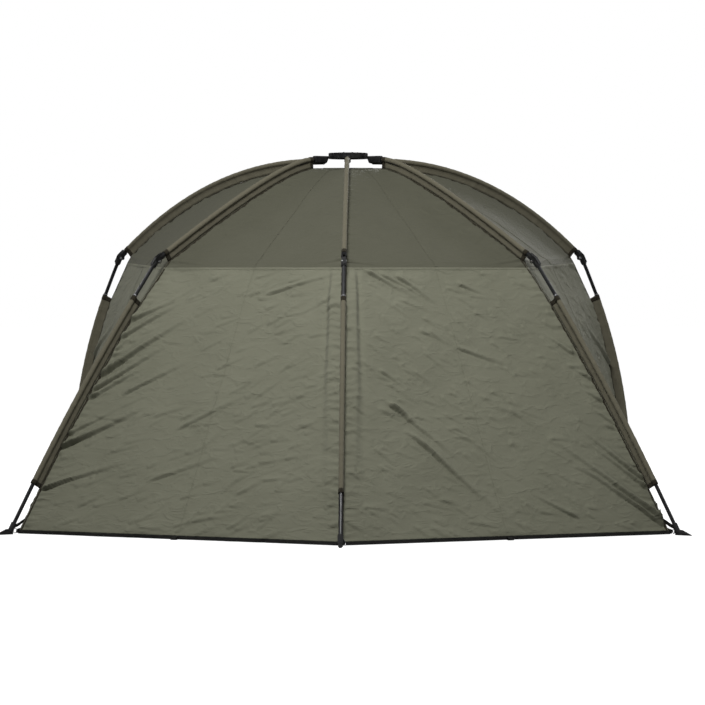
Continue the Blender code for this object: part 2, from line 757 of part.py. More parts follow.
def build_canopy(ribs, paint, root):
    """One roof gore and one wall in each space between two ribs, and the front's zipped panel."""
    spaces = {
        "rear_right": ("rear_centre", "rear_right"),
        "right": ("rear_right", "front_right"),
        "front": ("front_right", "front_left"),
        "left": ("front_left", "rear_left"),
        "rear_left": ("rear_left", "rear_centre"),
    }
    for space, sides in spaces.items():
        roofs, walls = [], []
        for place, towards in zip(sides, (1, -1)):
            bearing, kind = RIB_PLACES[place]
            rib = ribs[kind]
            crown = Vector((CROWN_RADIUS, HUB_TOP - CROWN_DROP))
            roofs.append(seam_points([crown] + rib.roof_seam(), bearing, towards))
            lowered = [rib.crease + rib.down * GAP] + rib.wall_seam()[1:]
            walls.append(seam_points(lowered, bearing, towards))
        panel(f"roof_{space}", roofs[0], roofs[1], ROOF_SAG, paint, root)
        if space == "front":
            panel("front_panel", walls[0], walls[1], 0, paint, root)
        else:
            panel(f"wall_{space}", walls[0], walls[1], WALL_SAG, paint, root)


def zip_slider(name, side, rib, paint, root, parent):
    """A slider and its pull, on the front panel's outer face, beside a front leg's seam."""
    frame = rib_frame(FRONT_BEARING * side)
    seam = rib.wall_seam()
    low, high = (frame @ Vector((p.x, 0, p.y)) for p in (seam[-1], seam[-2]))
    along = (high - low).normalized()
    out = Vector((1, 0, 0)).cross(along)
    out = out.normalized() * math.copysign(1, out.y)
    right = along.cross(out)
    inset = right * math.copysign(ZIP_INSET, -side * right.x)
    at = low + along * ((ZIP_BOTTOM - low.z) / along.z) + inset + out * (CLOTH + GAP)
    turn = Matrix((right, along, out)).transposed().to_4x4()
    matrix = parent.matrix_world.inverted() @ root.matrix_world @ Matrix.Translation(at) @ turn
    bm = bmesh.new()
    half = SLIDER_WIDTH / 2
    box(bm, (-half, -SLIDER_LENGTH / 2, 0), (half, SLIDER_LENGTH / 2, SLIDER_HEIGHT))
    made = build_object(name, finish(name, bm), paint, parent, matrix)
    bevel(made, SLIDER_BEVEL)
    pull = bmesh.new()
    reach = SLIDER_LENGTH / 2 + PULL_LENGTH
    low_side = (SLIDER_HEIGHT - PULL_THICK) / 2
    box(pull, (-PULL_WIDTH / 2, -reach, low_side), (PULL_WIDTH / 2, 0, low_side + PULL_THICK))
    combine(made, guide(f"{name}_pull", pull, parent, matrix), "UNION")
    return made


def main():
    for thing in list(bpy.data.objects):
        bpy.data.objects.remove(thing, do_unlink=True)
    paints = {
        "nylon": material("black nylon", (0.012, 0.012, 0.013), 0.5),
        "tube": material("black anodised tube", (0.02, 0.02, 0.021), 0.35, 0.9),
        "steel": material("steel pin", (0.3, 0.3, 0.3), 0.35, 1.0),
        "sleeve": material("dark olive sleeve cloth", (0.055, 0.058, 0.036), 0.85),
        "canopy": material("olive canopy cloth", (0.16, 0.165, 0.115), 0.8),
    }
    ribs = {kind: Rib(kind) for kind in ("rear", "front")}
    meshes = {kind: rib_meshes(rib) for kind, rib in ribs.items()}
    pin_mesh = knuckle_pin_mesh()
    root = empty("hub_axis", Matrix.Translation((0, HUB_Y, 0)))
    hub_body(paints["nylon"], root)
    hub_cap(paints["nylon"], root)
    hub_ring(paints["steel"], root)
    for place, (bearing, kind) in RIB_PLACES.items():
        build_rib(place, bearing, ribs[kind], meshes[kind], pin_mesh, paints, root)
    build_canopy(ribs, paints["canopy"], root)
    bpy.context.view_layer.update()
    for label, side in (("left", -1), ("right", 1)):
        knee = bpy.data.objects[f"knuckle_axis_front_{label}"]
        zip_slider(f"zip_slider_{label}", side, ribs["front"], paints["steel"], root, knee)


main()
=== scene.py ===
# %% [markdown]
# # A hub bivvy tent, seen from behind
# The tent is a cloth dome on five folding ribs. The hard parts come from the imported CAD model, and
# this lesson dresses them: it sews the canopy and the sleeves, adds the trim and gives every surface
# its finish. Everything is in metres, the ground is Z = 0 and -Y faces the photographer.

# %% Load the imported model
import math

import bmesh
import bpy
import numpy as np
from mathutils import Matrix, Vector


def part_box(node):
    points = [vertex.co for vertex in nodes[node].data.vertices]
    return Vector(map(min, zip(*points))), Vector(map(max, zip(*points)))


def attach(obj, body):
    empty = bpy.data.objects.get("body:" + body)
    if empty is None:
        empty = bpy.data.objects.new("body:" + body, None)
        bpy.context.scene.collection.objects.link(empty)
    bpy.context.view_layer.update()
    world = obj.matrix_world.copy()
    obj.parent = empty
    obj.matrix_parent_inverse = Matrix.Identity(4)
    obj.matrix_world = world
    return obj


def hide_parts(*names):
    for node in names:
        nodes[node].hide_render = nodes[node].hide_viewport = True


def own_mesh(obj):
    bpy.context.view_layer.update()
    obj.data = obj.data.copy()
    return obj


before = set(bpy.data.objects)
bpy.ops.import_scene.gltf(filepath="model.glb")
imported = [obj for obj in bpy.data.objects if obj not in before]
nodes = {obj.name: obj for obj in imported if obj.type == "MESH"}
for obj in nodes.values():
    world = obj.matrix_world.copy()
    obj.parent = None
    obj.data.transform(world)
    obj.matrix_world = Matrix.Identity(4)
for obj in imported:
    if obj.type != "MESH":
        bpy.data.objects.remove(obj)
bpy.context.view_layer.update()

# %% [markdown]
# ## Camera
# The photograph was taken from far behind the tent with a long lens, a little above half its height
# and looking slightly down. A long lens keeps the far ribs almost as large as the near ones, so the
# distance matters as much as the angle. Both were fitted to the feet, knuckles and hub.

# %% Place the camera
CAMERA_PLACE = (0.273, -15.192, 1.049)
CAMERA_DOWN = 1.1935
CAMERA_TURN = 0.927
CAMERA_LENS = 183.3


def new_object(name, data):
    """An object that holds this data, linked to the scene."""
    made = bpy.data.objects.new(name, data)
    bpy.context.scene.collection.objects.link(made)
    return made


camera_data = bpy.data.cameras.new("camera")
camera_data.lens = CAMERA_LENS
camera_data.sensor_width = 36
camera_data.clip_end = 200
camera = new_object("camera", camera_data)
camera.location = CAMERA_PLACE
camera.rotation_euler = (math.radians(90 - CAMERA_DOWN), 0, math.radians(CAMERA_TURN))
bpy.context.scene.camera = camera
print("camera at", CAMERA_PLACE)

# %% [markdown]
# ## Where the ribs run
# Every rib lies in an upright plane through the hub's axis, at its own bearing from the rear. In
# that plane a point is (radius, height). The numbers repeat those of the CAD model, because cloth
# has to follow the same lines as the tubes. The upper tube is level at the hub, bends over
# in one sweep and runs straight into the knuckle. The leg is straight or bows a little.

# %% Driving sizes
HUB_Y = 0.51439
BEARING = {"rear_centre": 0, "rear_right": 51.8, "front_right": 120, "front_left": -120, "rear_left": -51.8}
REAR, FRONT = "rear", "front"
KIND = {place: FRONT if place.startswith("front") else REAR for place in BEARING}
KNEE = {REAR: (1.008, 1.126), FRONT: (1.209, 1.145)}
FOOT_RADIUS = {REAR: 1.742, FRONT: 1.47}
SLOPE_SHARE = {REAR: 1.248, FRONT: 2.06}
LEG_BEND = {REAR: 6.7, FRONT: 27}
TUBE_HEIGHT = 1.562
BLOCK_INNER, BLOCK_OUTER, BLOCK_WALL = 0.114, 0.186, 0.014
STRAIGHT_END = 0.07
SEAM_DROP = 0.04
CREASE_DROP = 0.051
COLLAR_RADIUS = 0.0115
BARE_UPPER = (0.066, 0.042)
BARE_LOWER = (0.196, 0.235)
CROWN = (0.006, 1.526)
HEM_HEIGHT = 0.012
CLOTH = 0.0012
ROOF_SAG, WALL_SAG = 0.022, 0.03
INSIDE = np.array((0.0, HUB_Y, 0.7))
BEND_POINTS = 240


# %% Lines in a rib's plane
def slope_direction(degrees):
    """A unit vector that points outwards, and down by that angle."""
    return np.array((math.cos(math.radians(degrees)), -math.sin(math.radians(degrees))))


def outward_of(direction):
    """The direction that faces away from the canopy, beside a line."""
    return np.stack((-direction[..., 1], direction[..., 0]), axis=-1)


def crossing(start, along, end, back):
    """Where the line from start meets the line through end."""
    offset = end - start
    share = (offset[0] * back[1] - offset[1] * back[0]) / (along[0] * back[1] - along[1] * back[0])
    return start + along * share


def unit(vectors):
    """The same directions with a length of 1."""
    return vectors / np.linalg.norm(vectors, axis=-1, keepdims=True)


def reach_along(points):
    """How far each point is from the first, measured along the line."""
    return np.concatenate(([0.0], np.cumsum(np.linalg.norm(np.diff(points, axis=0), axis=1))))


def read_at(distance, reach, values):
    """Rows of values at distances along a line."""
    return np.stack([np.interp(distance, reach, column) for column in values.T], axis=-1)


class TubeLine:
    """A tube's centreline, read by its distance from its start."""

    def __init__(self, before, start, control, end, after):
        t = np.linspace(0, 1, BEND_POINTS + 1)[:, None]
        bend = (1 - t) ** 2 * start + 2 * t * (1 - t) * control + t * t * end
        self.points = np.vstack((before, bend, after))
        self.reach = reach_along(self.points)
        self.length = self.reach[-1]
        self.middles = (self.reach[:-1] + self.reach[1:]) / 2
        steps = np.diff(self.points, axis=0)
        self.angles = np.unwrap(np.arctan2(steps[:, 1], steps[:, 0]))

    def at(self, distance):
        """Points at those distances, and the outward directions there."""
        distance = np.asarray(distance, float)
        angle = np.interp(distance, self.middles, self.angles)
        outward = outward_of(np.stack((np.cos(angle), np.sin(angle)), axis=-1))
        return read_at(distance, self.reach, self.points), outward

    def beside(self, distance, drop):
        """Points that far inside the tube."""
        place, outward = self.at(distance)
        return place - outward * drop


# %% The two shapes of rib
class Rib:
    """The lines of a rear or a front rib, in its own plane."""

    def __init__(self, kind):
        self.knee = np.array(KNEE[kind])
        self.foot = np.array((FOOT_RADIUS[kind], 0.0))
        across, height = self.foot[0] - self.knee[0], self.knee[1]
        chord = math.degrees(math.atan2(height, across))
        steepness = SLOPE_SHARE[kind] * (TUBE_HEIGHT - height) / (self.knee[0] - BLOCK_OUTER)
        slope = math.degrees(math.atan(steepness))
        self.into = slope_direction(slope)
        self.down = slope_direction(chord - LEG_BEND[kind] / 2)
        self.last = slope_direction(chord + LEG_BEND[kind] / 2)
        self.outer = unit(outward_of(self.into) + outward_of(self.down))
        half = math.radians(chord - LEG_BEND[kind] / 2 - slope) / 2
        self.slack = COLLAR_RADIUS * math.tan(half)
        self.crease = self.knee - self.outer * CREASE_DROP
        level = np.array((BLOCK_OUTER, TUBE_HEIGHT))
        before = self.knee - self.into * STRAIGHT_END
        bend_at = crossing(level, np.array((1.0, 0.0)), before, self.into)
        inner = np.array((BLOCK_INNER + BLOCK_WALL, TUBE_HEIGHT))
        self.upper = TubeLine(inner, level, bend_at, before, self.knee)
        start = self.knee + self.down * STRAIGHT_END
        end = self.foot - self.last * STRAIGHT_END
        leg_at = crossing(start, self.down, end, self.last)
        self.leg = TubeLine(self.knee, start, leg_at, end, self.foot)
        straight = self.upper.length - STRAIGHT_END
        self.upper_ends = (BARE_UPPER[0], self.upper.length - self.slack - BARE_UPPER[1])
        self.leg_ends = (BARE_LOWER[0], self.leg.length - BARE_LOWER[1])
        self.upper_marks = np.append(np.linspace(BARE_UPPER[0], straight, 7), self.upper_ends[1])
        self.leg_marks = np.linspace(*self.leg_ends, 5)
        beside = self.foot - outward_of(self.last) * SEAM_DROP
        self.hem = beside - self.last * ((HEM_HEIGHT - beside[1]) / -self.last[1])

    def seam(self, part, share):
        """The canopy's seam at shares of its length.

        The roof's runs from the crown to the crease, the wall's from there to the hem.
        """
        share = np.asarray(share, float)
        if part == "roof":
            line, marks, first, last = self.upper, self.upper_marks, np.array(CROWN), self.crease
        else:
            line, marks, first, last = self.leg, self.leg_marks, self.crease, self.hem
        at = share * (len(marks) + 1)
        middle = line.beside(np.interp(at - 1, np.arange(len(marks)), marks), SEAM_DROP)
        into = np.clip(at, 0, 1)[..., None]
        out = np.clip(at - len(marks), 0, 1)[..., None]
        start, stop = line.beside(marks[0], SEAM_DROP), line.beside(marks[-1], SEAM_DROP)
        curve = np.where(at[..., None] < 1, first + (start - first) * into, middle)
        return np.where(at[..., None] > len(marks), stop + (last - stop) * out, curve)


RIBS = {kind: Rib(kind) for kind in (REAR, FRONT)}
print("upper tubes", [round(rib.upper.length, 3) for rib in RIBS.values()], "m long")
print("legs", [round(rib.leg.length, 3) for rib in RIBS.values()], "m long")


# %% From a rib's plane to the tent
UP = np.array((0.0, 0.0, 1.0))


def rib_axes(place):
    """A rib's outward direction on the ground, and the direction across it."""
    angle = math.radians(BEARING[place])
    outward = np.array((math.sin(angle), -math.cos(angle), 0.0))
    return outward, np.array((math.cos(angle), math.sin(angle), 0.0))


def in_tent(place, points, across=0.0):
    """Points (radius, height) of a rib's plane, moved across it, in the tent's own frame."""
    points = np.asarray(points, float)
    outward, side = rib_axes(place)
    base = np.array((0.0, HUB_Y, 0.0))
    across = np.asarray(across, float)
    return base + points[..., :1] * outward + points[..., 1:] * UP + across[..., None] * side


# %% [markdown]
# ## The canopy's surface
# Between two ribs the canopy has a roof and a wall, which meet in a crease from knuckle to knuckle.
# Each is stretched between two seams and pulled inwards between them, like a shallow saddle. A
# point on it is a share across and a share down. Everything that is sewn to the cloth, such as a hem
# or a zip, reads its place from the same function, so it can't float or sink.

# %% Points on the canopy
SPACES = {
    "rear_right": ("rear_centre", "rear_right"),
    "right": ("rear_right", "front_right"),
    "front": ("front_right", "front_left"),
    "left": ("front_left", "rear_left"),
    "rear_left": ("rear_left", "rear_centre"),
}
SEAM_GAP = 0.0003


def seams(space, part, down, gap=0.0):
    """Both seams of a panel at shares down, each moved that far into the space."""
    first, second = SPACES[space]
    inset = np.full(np.shape(down), gap)
    left = in_tent(first, RIBS[KIND[first]].seam(part, down), inset)
    return left, in_tent(second, RIBS[KIND[second]].seam(part, down), -inset)


def taut(space, part, across, down):
    """The cloth's inner face before any fold, at shares across and down."""
    left, right = seams(space, part, down, SEAM_GAP)
    point = left + (right - left) * across[..., None]
    sag = ROOF_SAG if part == "roof" else 0 if space == "front" else WALL_SAG
    amount = sag * 4 * across * (1 - across) * np.sin(np.pi * down)
    return point + unit(INSIDE - point) * amount[..., None]


def facing(space, part, across, down):
    """The cloth's outward normal at shares across and down."""
    step = 0.004
    a = np.clip(across, step, 1 - step)
    d = np.clip(down, step, 1 - step)
    rightwards = taut(space, part, a + step, d) - taut(space, part, a - step, d)
    downwards = taut(space, part, a, d + step) - taut(space, part, a, d - step)
    return unit(np.cross(downwards, rightwards))


def laid_flat(space, part, across, down):
    """Metres from the space's middle line, and down along it, as if the cloth lay flat."""
    left, right = seams(space, part, down)
    width = np.linalg.norm(right - left, axis=-1)
    marks = np.linspace(0, 1, 101)
    reach = reach_along(taut(space, part, np.full_like(marks, 0.5), marks))
    return np.stack(((across - 0.5) * width, np.interp(down, marks, reach)), axis=-1)


def half_width(space, part, down):
    """Metres of flat cloth from the middle line to a seam, at shares down."""
    return -laid_flat(space, part, np.zeros_like(down), down)[..., 0]


def panel_size(space, part):
    """Half a panel's width at its lower edge, and the panel's length."""
    edge = laid_flat(space, part, np.zeros(1), np.ones(1))[0]
    return float(-edge[0]), float(edge[1])


for part in ("roof", "wall"):
    half, length = panel_size("rear_right", part)
    print(part, "of a rear space:", round(2 * half, 3), "m wide,", round(length, 3), "m down")

# %% [markdown]
# ## Folds in the cloth
# Thin coated cloth keeps two kinds of fold. Long ridges run from the ribs towards the middle,
# where the cloth is pulled. Small crumples from the bag cover all of it. Both are drawn as soft
# ridges on the flat cloth. A ridge starts narrow and sharp, is gentle above and steep below, and
# dies out at its end. A simulation would put them anywhere, but drawn one by one they lie where the
# photograph has them.

# %% Where the long folds lie
# Each row holds the shares across and down where a fold starts and where it ends, and then its
# width and height in millimetres.
LONG_FOLDS = {
    "rear_left": (
        (0.00, 0.235, 0.20, 0.135, 10, 11.9),
        (0.00, 0.305, 0.20, 0.150, 12, 13.1),
        (0.00, 0.438, 0.26, 0.210, 15, 21.0),
        (0.00, 0.495, 0.22, 0.320, 12, 15.8),
        (0.00, 0.520, 0.17, 0.402, 9, 11.9),
        (0.14, 0.500, 0.34, 0.370, 13, 10.5),
        (0.00, 0.250, 0.05, 0.150, 7, 7.9),
        (0.00, 0.355, 0.05, 0.290, 7, 7.9),
        (0.00, 0.695, 0.24, 0.545, 14, 19.8),
        (0.00, 0.650, 0.15, 0.542, 9, 10.5),
        (0.00, 0.838, 0.25, 0.735, 12, 14.5),
        (0.62, 0.120, 0.98, 0.020, 10, 7.9),
        (0.40, 0.620, 0.66, 0.480, 14, 7.9),
        (0.945, 0.050, 0.97, 0.990, 32, 9.0),
        (0.36, 0.800, 0.60, 0.700, 13, 6.9),
    ),
    "rear_right": (
        (0.12, 0.015, 0.35, 0.140, 12, 10.5),
        (0.28, 0.040, 0.45, 0.165, 12, 11.9),
        (0.20, 0.030, 0.44, 0.160, 9, 7.9),
        (0.59, 0.075, 0.71, 0.130, 8, 7.9),
        (0.15, 0.410, 0.24, 0.465, 8, 7.9),
        (0.18, 0.530, 0.28, 0.600, 9, 9.2),
        (0.18, 0.530, 0.41, 0.735, 12, 10.5),
        (0.26, 0.650, 0.52, 0.950, 14, 13.1),
        (1.00, 0.965, 0.74, 0.640, 15, 22.4),
        (1.00, 0.978, 0.77, 0.715, 12, 17.1),
        (1.00, 0.812, 0.84, 0.590, 13, 15.8),
        (1.00, 0.840, 0.85, 0.650, 10, 11.9),
        (0.73, 0.935, 0.61, 0.840, 9, 9.2),
        (0.97, 0.355, 0.90, 0.275, 8, 10.5),
        (1.00, 0.452, 0.93, 0.395, 8, 10.5),
        (1.00, 0.530, 0.93, 0.475, 8, 9.2),
        (1.00, 0.612, 0.93, 0.540, 8, 9.2),
        (0.050, 0.050, 0.03, 0.990, 32, 9.0),
        (0.50, 0.330, 0.76, 0.420, 14, 6.9),
    ),
    "left": (
        (0.96, 0.30, 0.60, 0.14, 13, 10.5),
        (1.00, 0.52, 0.64, 0.34, 14, 12.6),
        (1.00, 0.74, 0.66, 0.58, 13, 10.5),
        (0.00, 0.42, 0.30, 0.24, 14, 10.5),
        (0.00, 0.66, 0.34, 0.50, 14, 12.6),
        (0.00, 0.88, 0.30, 0.74, 13, 9.5),
    ),
    "front": (
        (0.00, 0.30, 0.20, 0.16, 12, 8.4),
        (1.00, 0.34, 0.82, 0.18, 12, 8.4),
        (0.03, 0.62, 0.24, 0.50, 13, 8.4),
        (0.97, 0.70, 0.74, 0.58, 13, 8.4),
        (0.04, 0.92, 0.30, 0.82, 12, 7.4),
        (0.96, 0.94, 0.72, 0.84, 12, 7.4),
    ),
}
LONG_FOLDS["right"] = tuple(
    (1 - a0, d0 + 0.03, 1 - a1, d1 + 0.02, width, height)
    for a0, d0, a1, d1, width, height in LONG_FOLDS["left"]
)
ROOF_FOLDS = (
    (0.00, 0.86, 0.26, 0.96, 9, 2.6),
    (1.00, 0.84, 0.76, 0.95, 9, 2.6),
    (0.02, 0.55, 0.22, 0.68, 8, 2.0),
    (0.98, 0.62, 0.78, 0.72, 8, 2.0),
)
# The widths and heights of both tables are scaled by these.
FOLD_WIDTH = 0.88
FOLD_HEIGHT = {"roof": 1.2, "wall": 1.4}
print(sum(len(folds) for folds in LONG_FOLDS.values()), "long folds on the walls")


# %% The shape of a fold
STEEPEST = 0.0054
GENTLE_ABOVE = 2.5
DIP, DIP_PLACE = 0.45, 1.9


def ridge(flat, start, end, width, height):
    """A fold that is gentle above and steep below. It starts narrow and sharp, and dies out wide."""
    along = end - start
    length = np.linalg.norm(along)
    along = along / length
    offset = flat - start
    run = offset @ along / length
    below = (offset[..., 0] * -along[1] + offset[..., 1] * along[0]) * (1 if along[0] > 0 else -1)
    steep = np.maximum(0.6 * width * np.clip(0.6 + 0.8 * run, 0.6, 1.4), STEEPEST)
    side = below / steep
    fade = np.clip(run * 7 + 0.5, 0, 1) * np.clip(1.02 - run, 0, 1)
    crest = np.exp(-((side / np.where(side < 0, GENTLE_ABOVE, 1)) ** 2))
    return height * fade * (crest - DIP * np.exp(-((side - DIP_PLACE) ** 2)))


# %% Crumples, swells and puckers
CRUMPLE_COUNT = {"roof": 120, "wall": 320}
CRUMPLE_LEAN = {"rear_left": -28, "left": -24, "rear_right": 34, "right": 26, "front": -30}
CRUMPLE_REACH = 0.17
WALL_CRUMPLE = {
    "rear_left": 0.0054, "rear_right": 0.0054, "left": 0.0032, "right": 0.0032, "front": 0.0045,
}
ROOF_CRUMPLE = 0.002
SWELL_PITCH = (0.21, 0.33, 0.47)
SWELL_HEIGHT = 0.0032
PUCKER_PITCH = (0.031, 0.047, 0.066, 0.11)
PUCKER_REACH = 0.018
PUCKER_HEIGHT = 0.0017


def crumples(flat, corners, seed, count, height, lean):
    """Many small seeded ridges that lean one way, spread over the whole panel."""
    chance = np.random.default_rng(seed)
    low, high = corners.min(axis=0), corners.max(axis=0)
    lift = np.zeros(flat.shape[:-1])
    for _ in range(count):
        middle = low + (high - low) * chance.random(2)
        angle = math.radians(lean + chance.normal(0, 15))
        half = np.array((math.cos(angle), math.sin(angle))) * chance.uniform(0.025, 0.085)
        width, share = chance.uniform(0.007, 0.016), chance.uniform(0.25, 1)
        near = np.linalg.norm(flat - middle, axis=-1) < CRUMPLE_REACH
        lift[near] += ridge(flat[near], middle - half, middle + half, width, height * share)
    return lift


def swells(flat, seed):
    """Broad soft waves in every direction, as slack cloth has."""
    chance = np.random.default_rng(seed)
    wave = np.zeros(flat.shape[:-1])
    for pitch in SWELL_PITCH:
        for _ in range(2):
            turn = chance.uniform(0, math.pi)
            run = flat[..., 0] * math.cos(turn) + flat[..., 1] * math.sin(turn)
            wave += np.sin(run * math.tau / pitch + chance.uniform(0, math.tau)) * pitch / SWELL_PITCH[-1]
    return SWELL_HEIGHT * wave / 2


def seam_puckers(distance, along, seed):
    """Short gathers beside a sewn seam, that die out within a hand's width."""
    chance = np.random.default_rng(seed)
    wave = np.zeros(np.shape(along))
    for pitch in PUCKER_PITCH:
        wave += np.sin(along * math.tau / pitch + chance.uniform(0, math.tau)) * chance.uniform(0.5, 1)
    near = distance / PUCKER_REACH
    return PUCKER_HEIGHT * wave * near * np.exp(1 - near)


# %% The folded cloth
ZIP_MARGIN = 0.027
CROWN_MARGIN = 0.1


def grows(share, start, rate):
    """0 up to a start, then growing to 1."""
    return np.clip((share - start) * rate, 0, 1)


def raised(space, part, across, down):
    """How far the folds lift the cloth off its taut surface."""
    flat = laid_flat(space, part, across, down)
    seed = sorted(SPACES).index(space) * 2 + (part == "roof")
    corners = laid_flat(space, part, np.array((0.0, 1.0, 0.0, 1.0)), np.array((0.0, 0.0, 1.0, 1.0)))
    crumple = WALL_CRUMPLE[space] if part == "wall" else ROOF_CRUMPLE
    lift = crumples(flat, corners, seed + 11, CRUMPLE_COUNT[part], crumple, CRUMPLE_LEAN[space])
    lift += swells(flat, seed + 71)
    for side in (-1, 1):
        distance = half_width(space, part, down) - side * flat[..., 0]
        lift += seam_puckers(distance, flat[..., 1], seed * 2 + side + 40)
    for a0, d0, a1, d1, width, height in LONG_FOLDS[space] if part == "wall" else ROOF_FOLDS:
        start, end = laid_flat(space, part, np.array((a0, a1)), np.array((d0, d1)))
        lift += ridge(flat, start, end, width / 1000 * FOLD_WIDTH, height / 1000 * FOLD_HEIGHT[part])
    near = np.minimum(across, 1 - across)
    lift *= grows(near, 0, 90) * grows(np.minimum(down, 1 - down), 0, 60)
    if part == "roof":
        lift *= grows(down, CROWN_MARGIN, 4)
    elif space == "front":
        lift *= grows(near, ZIP_MARGIN, 55)
    return lift


def on_cloth(space, part, across, down, lift=0.0):
    """Points on the finished cloth's inner face, lifted outwards by that much."""
    across, down = np.broadcast_arrays(np.asarray(across, float), np.asarray(down, float))
    height = raised(space, part, across, down) + lift
    return taut(space, part, across, down) + facing(space, part, across, down) * height[..., None]

print(CRUMPLE_COUNT["wall"], "crumples on each wall and", CRUMPLE_COUNT["roof"], "on each roof")


# %% [markdown]
# ## Shader maths in plain sums
# A material's node tree is easier to read as a sum than as a web of links. One small class holds
# an output socket. Adding or multiplying it adds the Math node, and one method adds any other node.

# %% A socket that can be added and multiplied
class Signal:
    """One output socket of a material's nodes."""

    def __init__(self, tree, socket=None):
        self.tree = tree
        self.socket = socket

    def node(self, kind, settings=None, values=None, output=0):
        """Adds a node, sets it up, fills its sockets with numbers or signals and returns one output."""
        made = self.tree.nodes.new(kind)
        for name, value in (settings or {}).items():
            setattr(made, name, value)
        for name, value in (values or {}).items():
            if isinstance(value, Signal):
                self.tree.links.new(value.socket, made.inputs[name])
            else:
                made.inputs[name].default_value = value
        return Signal(self.tree, made.outputs[output])

    def sum(self, operation, first, second=0.0, third=0.0):
        return self.node("ShaderNodeMath", {"operation": operation}, {0: first, 1: second, 2: third})

    def __add__(self, other):
        return self.sum("ADD", self, other)

    __radd__ = __add__

    def __mul__(self, other):
        return self.sum("MULTIPLY", self, other)

    __rmul__ = __mul__

    def __sub__(self, other):
        return self.sum("SUBTRACT", self, other)

    def __rsub__(self, other):
        return self.sum("SUBTRACT", other, self)


def mixed(factor, first, second):
    """A colour between two others."""
    return factor.node("ShaderNodeMix", {"data_type": "RGBA"}, {0: factor, 6: first, 7: second}, 2)


def tinted(colour, red, green, blue):
    """A colour with its parts scaled."""
    return colour[0] * red, colour[1] * green, colour[2] * blue, 1


def noise(at, scale, detail=2.0, distortion=0.0):
    values = {"Vector": at, "Scale": scale, "Detail": detail, "Distortion": distortion}
    return at.node("ShaderNodeTexNoise", {}, values)


def stretched(at, scale, turn):
    """The same place, scaled and turned about Z."""
    values = {"Vector": at, "Scale": scale, "Rotation": (0, 0, math.radians(turn))}
    return at.node("ShaderNodeMapping", {}, values)


def new_finish(name, roughness=0.6, **fixed):
    """A material with its shader's fixed values set, its first signal and its shader."""
    made = bpy.data.materials.new(name)
    made.use_nodes = True
    shader = made.node_tree.nodes["Principled BSDF"]
    shader.inputs["Roughness"].default_value = roughness
    for socket, value in fixed.items():
        shader.inputs[socket.replace("_", " ")].default_value = value
    return made, Signal(made.node_tree), shader


def plug_in(signal, shader, name):
    signal.tree.links.new(signal.socket, shader.inputs[name])


def bumped(height, distance, strength=1.0, below=None):
    """A normal from a height, on top of another one."""
    values = {"Height": height, "Distance": distance, "Strength": strength}
    if below is not None:
        values["Normal"] = below
    return height.node("ShaderNodeBump", {}, values)


# %% [markdown]
# ## Canopy cloth
# Coated polyester with a fine square weave: matt olive, a little lighter where it was rubbed, with
# small creases that catch the light. The weave and the creases follow the cloth, so they read its
# UV map, which is in metres of flat cloth.

# %% Canopy cloth finish
def flat_place(start):
    """A piece's UV map in metres of flat cloth, and its two numbers across and down."""
    flat = start.node("ShaderNodeUVMap", {"uv_map": "flat"})
    across = flat.node("ShaderNodeSeparateXYZ", {}, {0: flat})
    return flat, across, Signal(across.tree, across.socket.node.outputs[1])


def cloth_finish(name, colour, weave_pitch, crumple, sheen):
    """Woven cloth, with its weave and creases laid along its UV map in metres."""
    made, start, shader = new_finish(
        name, 0.62, Sheen_Weight=sheen, Sheen_Roughness=0.45, Specular_IOR_Level=0.12
    )
    flat, across, down = flat_place(start)
    warp = start.sum("SINE", across * (math.tau / weave_pitch))
    weft = start.sum("SINE", down * (math.tau / weave_pitch))
    # Patches as wide as a panel's half, clouds a hand wide, and creases that lean across the cloth.
    soft = noise(flat, 3.2, 3)
    cloud = noise(flat, 11, 4, 0.4)
    crease = noise(stretched(flat, (1.0, 1.9, 1), 28), 14, 4, 0.7)
    sharp = start.sum("ABSOLUTE", crease - 0.5)
    light = soft * 0.6 + cloud * 0.35 + sharp * 0.15
    dark, pale = tinted(colour, 0.86, 0.86, 0.84), tinted(colour, 1.16, 1.15, 1.17)
    plug_in(mixed(light, dark, pale), shader, "Base Color")
    plug_in(0.72 + cloud * 0.16, shader, "Roughness")
    thread = bumped(warp * weft, weave_pitch * 0.12, 0.5)
    plug_in(bumped(crease + sharp * 0.5, crumple, 0.8, thread), shader, "Normal")
    return made


CANOPY = cloth_finish("canopy_cloth", (0.152, 0.154, 0.113), 0.0011, 0.009, 0.03)
# The roof's cloth is the walls' cloth at about half the brightness. This is painted shade, which keeps the
# roof darker than the walls under the high key light.
SHADED_ROOF_CLOTH = cloth_finish("roof_cloth_painted_shade", (0.082, 0.082, 0.059), 0.0011, 0.006, 0.03)
SLEEVE = cloth_finish("sleeve_cloth", (0.118, 0.11, 0.078), 0.0016, 0.004, 0.05)
print("cloth finishes:", CANOPY.name, SHADED_ROOF_CLOTH.name, SLEEVE.name)


# %% [markdown]
# ## Webbing, tape and thread
# The hem, the tabs and the loops are black webbing with a coarse cross weave. Tapes carry two rows
# of stitches near their edges. The pattern reads the piece's own UV map, again in metres.

# %% Webbing finish
def webbing_finish(name, colour, pitch):
    """Coarse webbing or thread, with its cross weave laid along its UV map in metres."""
    made, start, shader = new_finish(
        name, 0.75, Sheen_Weight=0.02, Sheen_Roughness=0.5, Specular_IOR_Level=0.15
    )
    flat, across, down = flat_place(start)
    turns = math.tau / pitch
    weave = start.sum("SINE", (across + down) * turns) * start.sum("SINE", (across - down) * turns)
    fuzz = noise(flat, 900, 2)
    light = weave * 0.25 + fuzz * 0.5 + 0.1
    plug_in(mixed(light, (*colour, 1), tinted(colour, 2.1, 2.1, 2.0)), shader, "Base Color")
    plug_in(0.68 + fuzz * 0.2, shader, "Roughness")
    plug_in(bumped(weave, pitch * 0.18, 0.8), shader, "Normal")
    return made


